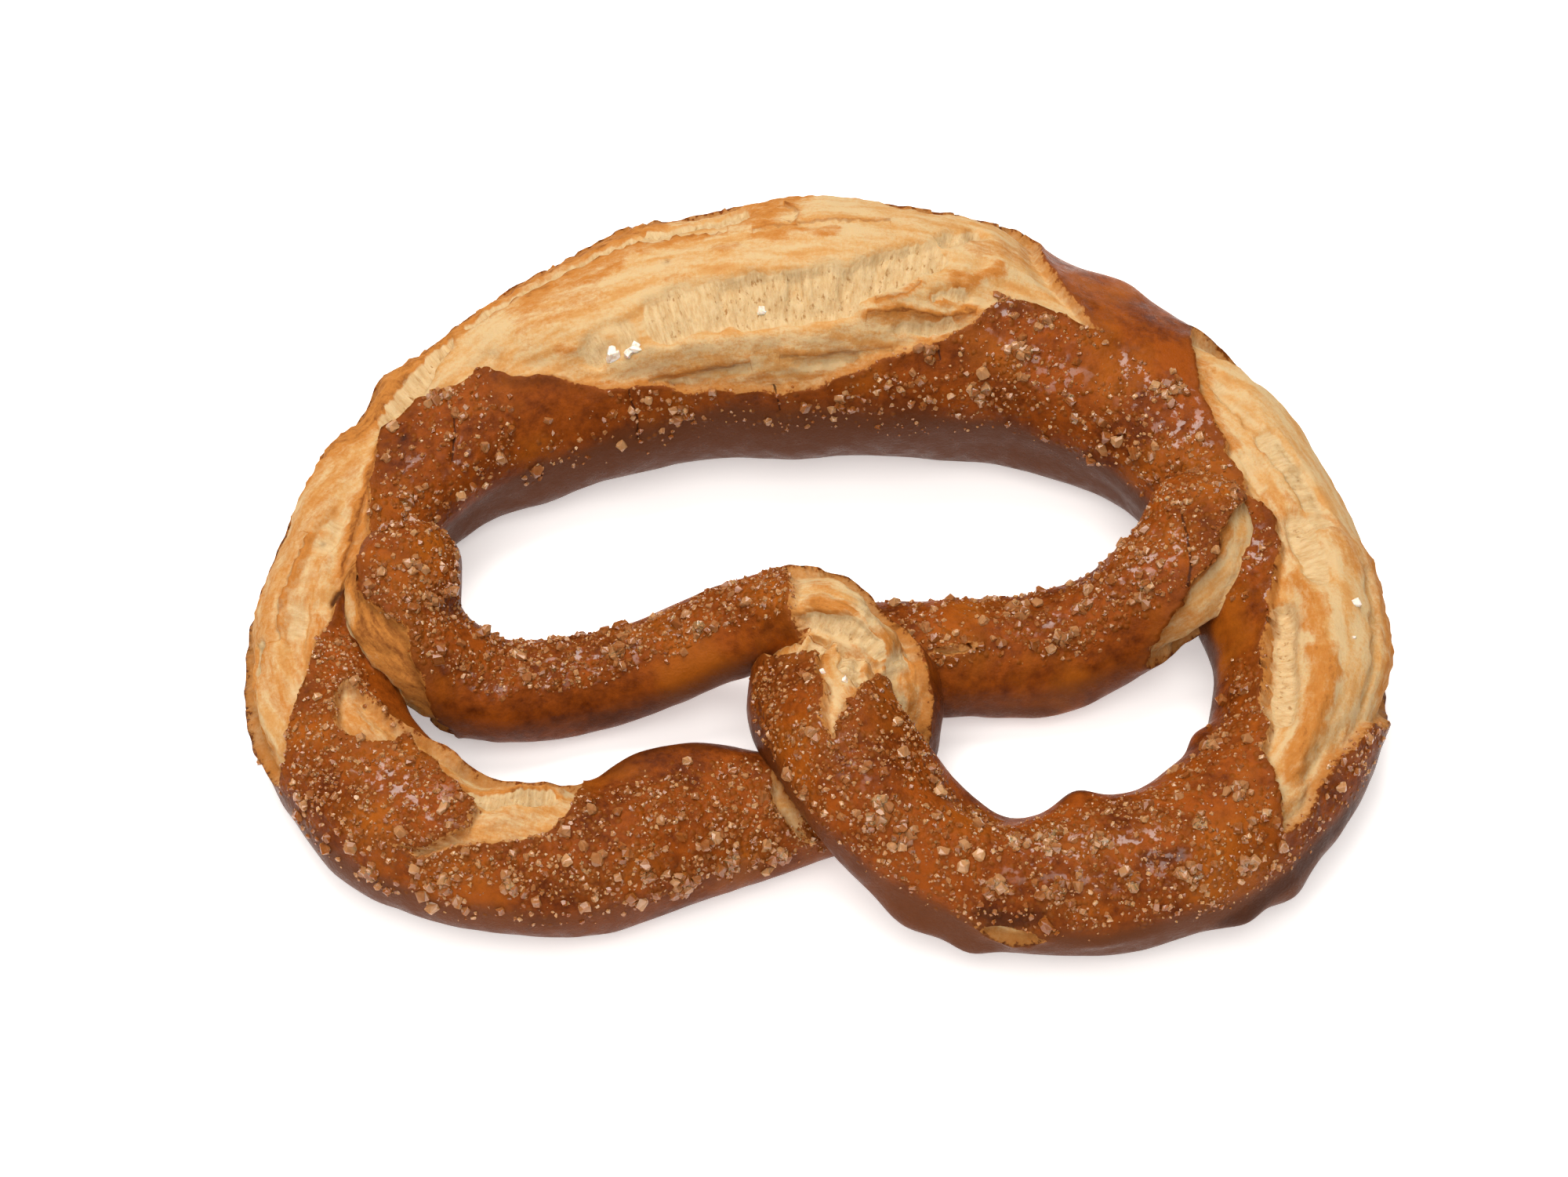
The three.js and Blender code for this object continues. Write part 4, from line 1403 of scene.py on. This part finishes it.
SALT_BROWN = (0.24, 0.070, 0.010, 1)
SALT_CLEAR = (0.47, 0.258, 0.115, 1)
SALT_WHITE = (0.80, 0.74, 0.66, 1)
CLEAR_TONE = 0.8
CLOUDS_SHIFT = 0.12
SALT_SHADER = {
    "Roughness": 0.14, "IOR": 1.5,
    "Subsurface Weight": 0.8, "Subsurface Radius": (1.0, 0.6, 0.35), "Subsurface Scale": 0.0005,
}


def salt_material():
    material, nodes, shader = new_material("coarse_salt", SALT_SHADER)
    place = nodes.put("ShaderNodeTexCoord").outputs["Object"]
    clouds = nodes.wobble(nodes.noise(place, SALT_CLOUDS, 2), CLOUDS_SHIFT)
    tone = nodes.sum(nodes.mark("tone"), clouds)
    colour = nodes.mix(nodes.scaled(tone, 0, CLEAR_TONE), SALT_BROWN, SALT_CLEAR)
    colour = nodes.mix(nodes.scaled(tone, CLEAR_TONE, 1.0), colour, SALT_WHITE)
    nodes.tree.links.new(colour, shader.inputs["Base Color"])
    return material


# The table glows a little, so that it is as white as in the photo and its shadows stay faint
TABLE_SHADER = {
    "Base Color": (0.94, 0.92, 0.92, 1), "Roughness": 0.9, "Specular IOR Level": 0.2,
    "Emission Color": (1.0, 0.97, 0.965, 1), "Emission Strength": 0.38,
}


# The set

CAMERA_LENS = 90
CAMERA_DISTANCE = 600
CAMERA_ELEVATION = 50
CAMERA_TARGET = (-MIDDLE_X, -MIDDLE_Y, 12)
CAMERA_SENSOR = 36
FLOOR_SIZE = 6
LIGHT_COLOUR = (1.0, 0.975, 0.93)
SKY_STRENGTH = 0.18

# Soft square lights: azimuth (0 is behind the camera), elevation, distance, size, power
LIGHTS = {"back_softbox": (200, 68, 1.0, 0.7, 11.0), "front_softbox": (-12, 56, 1.1, 1.0, 11.5)}


def add_camera():
    tilt = CAMERA_ELEVATION * DEGREE
    data = bpy.data.cameras.new("camera")
    data.lens = CAMERA_LENS
    data.sensor_width = CAMERA_SENSOR
    data.clip_start = 0.01
    camera = bpy.data.objects.new("camera", data)
    back = Vector((0, -math.cos(tilt), math.sin(tilt)))
    camera.location = (Vector(CAMERA_TARGET) + back * CAMERA_DISTANCE) * MM
    camera.rotation_euler = (math.pi / 2 - tilt, 0, 0)
    bpy.context.scene.collection.objects.link(camera)
    bpy.context.scene.camera = camera


def add_light(name, azimuth, elevation, distance, size, power):
    """A soft square light that faces the pretzel."""
    data = bpy.data.lights.new(name, "AREA")
    data.size = size
    data.energy = power
    data.color = LIGHT_COLOUR
    light = bpy.data.objects.new(name, data)
    turn, tilt = azimuth * DEGREE, elevation * DEGREE
    away = Vector((math.sin(turn) * math.cos(tilt), -math.cos(turn) * math.cos(tilt), math.sin(tilt)))
    light.location = away * distance
    light.rotation_mode = "QUATERNION"
    light.rotation_quaternion = (-away).to_track_quat("-Z", "Y")
    bpy.context.scene.collection.objects.link(light)


def add_table():
    mesh = bpy.data.meshes.new("table")
    plane = bmesh.new()
    bmesh.ops.create_grid(plane, x_segments=1, y_segments=1, size=FLOOR_SIZE / 2)
    plane.to_mesh(mesh)
    plane.free()
    table = bpy.data.objects.new("table", mesh)
    table.data.materials.append(new_material("white_table", TABLE_SHADER)[0])
    bpy.context.scene.collection.objects.link(table)


def add_light_all_round():
    world = bpy.data.worlds.new("studio")
    world.use_nodes = True
    background = world.node_tree.nodes["Background"]
    background.inputs["Color"].default_value = (1, 1, 1, 1)
    background.inputs["Strength"].default_value = SKY_STRENGTH
    bpy.context.scene.world = world
    bpy.context.scene.view_settings.view_transform = "Standard"


def smoothed(piece):
    """The piece with soft shading."""
    piece.data.polygons.foreach_set("use_smooth", [True] * len(piece.data.polygons))
    piece.data.update()
    return piece


add_camera()
add_table()
add_light_all_round()
for light_name, light_setting in LIGHTS.items():
    add_light(light_name, *light_setting)
pretzel_skin = smoothed(thinned(whole_skin()))
add_salt(pretzel_skin)
dressed(pretzel_skin, dough_material())
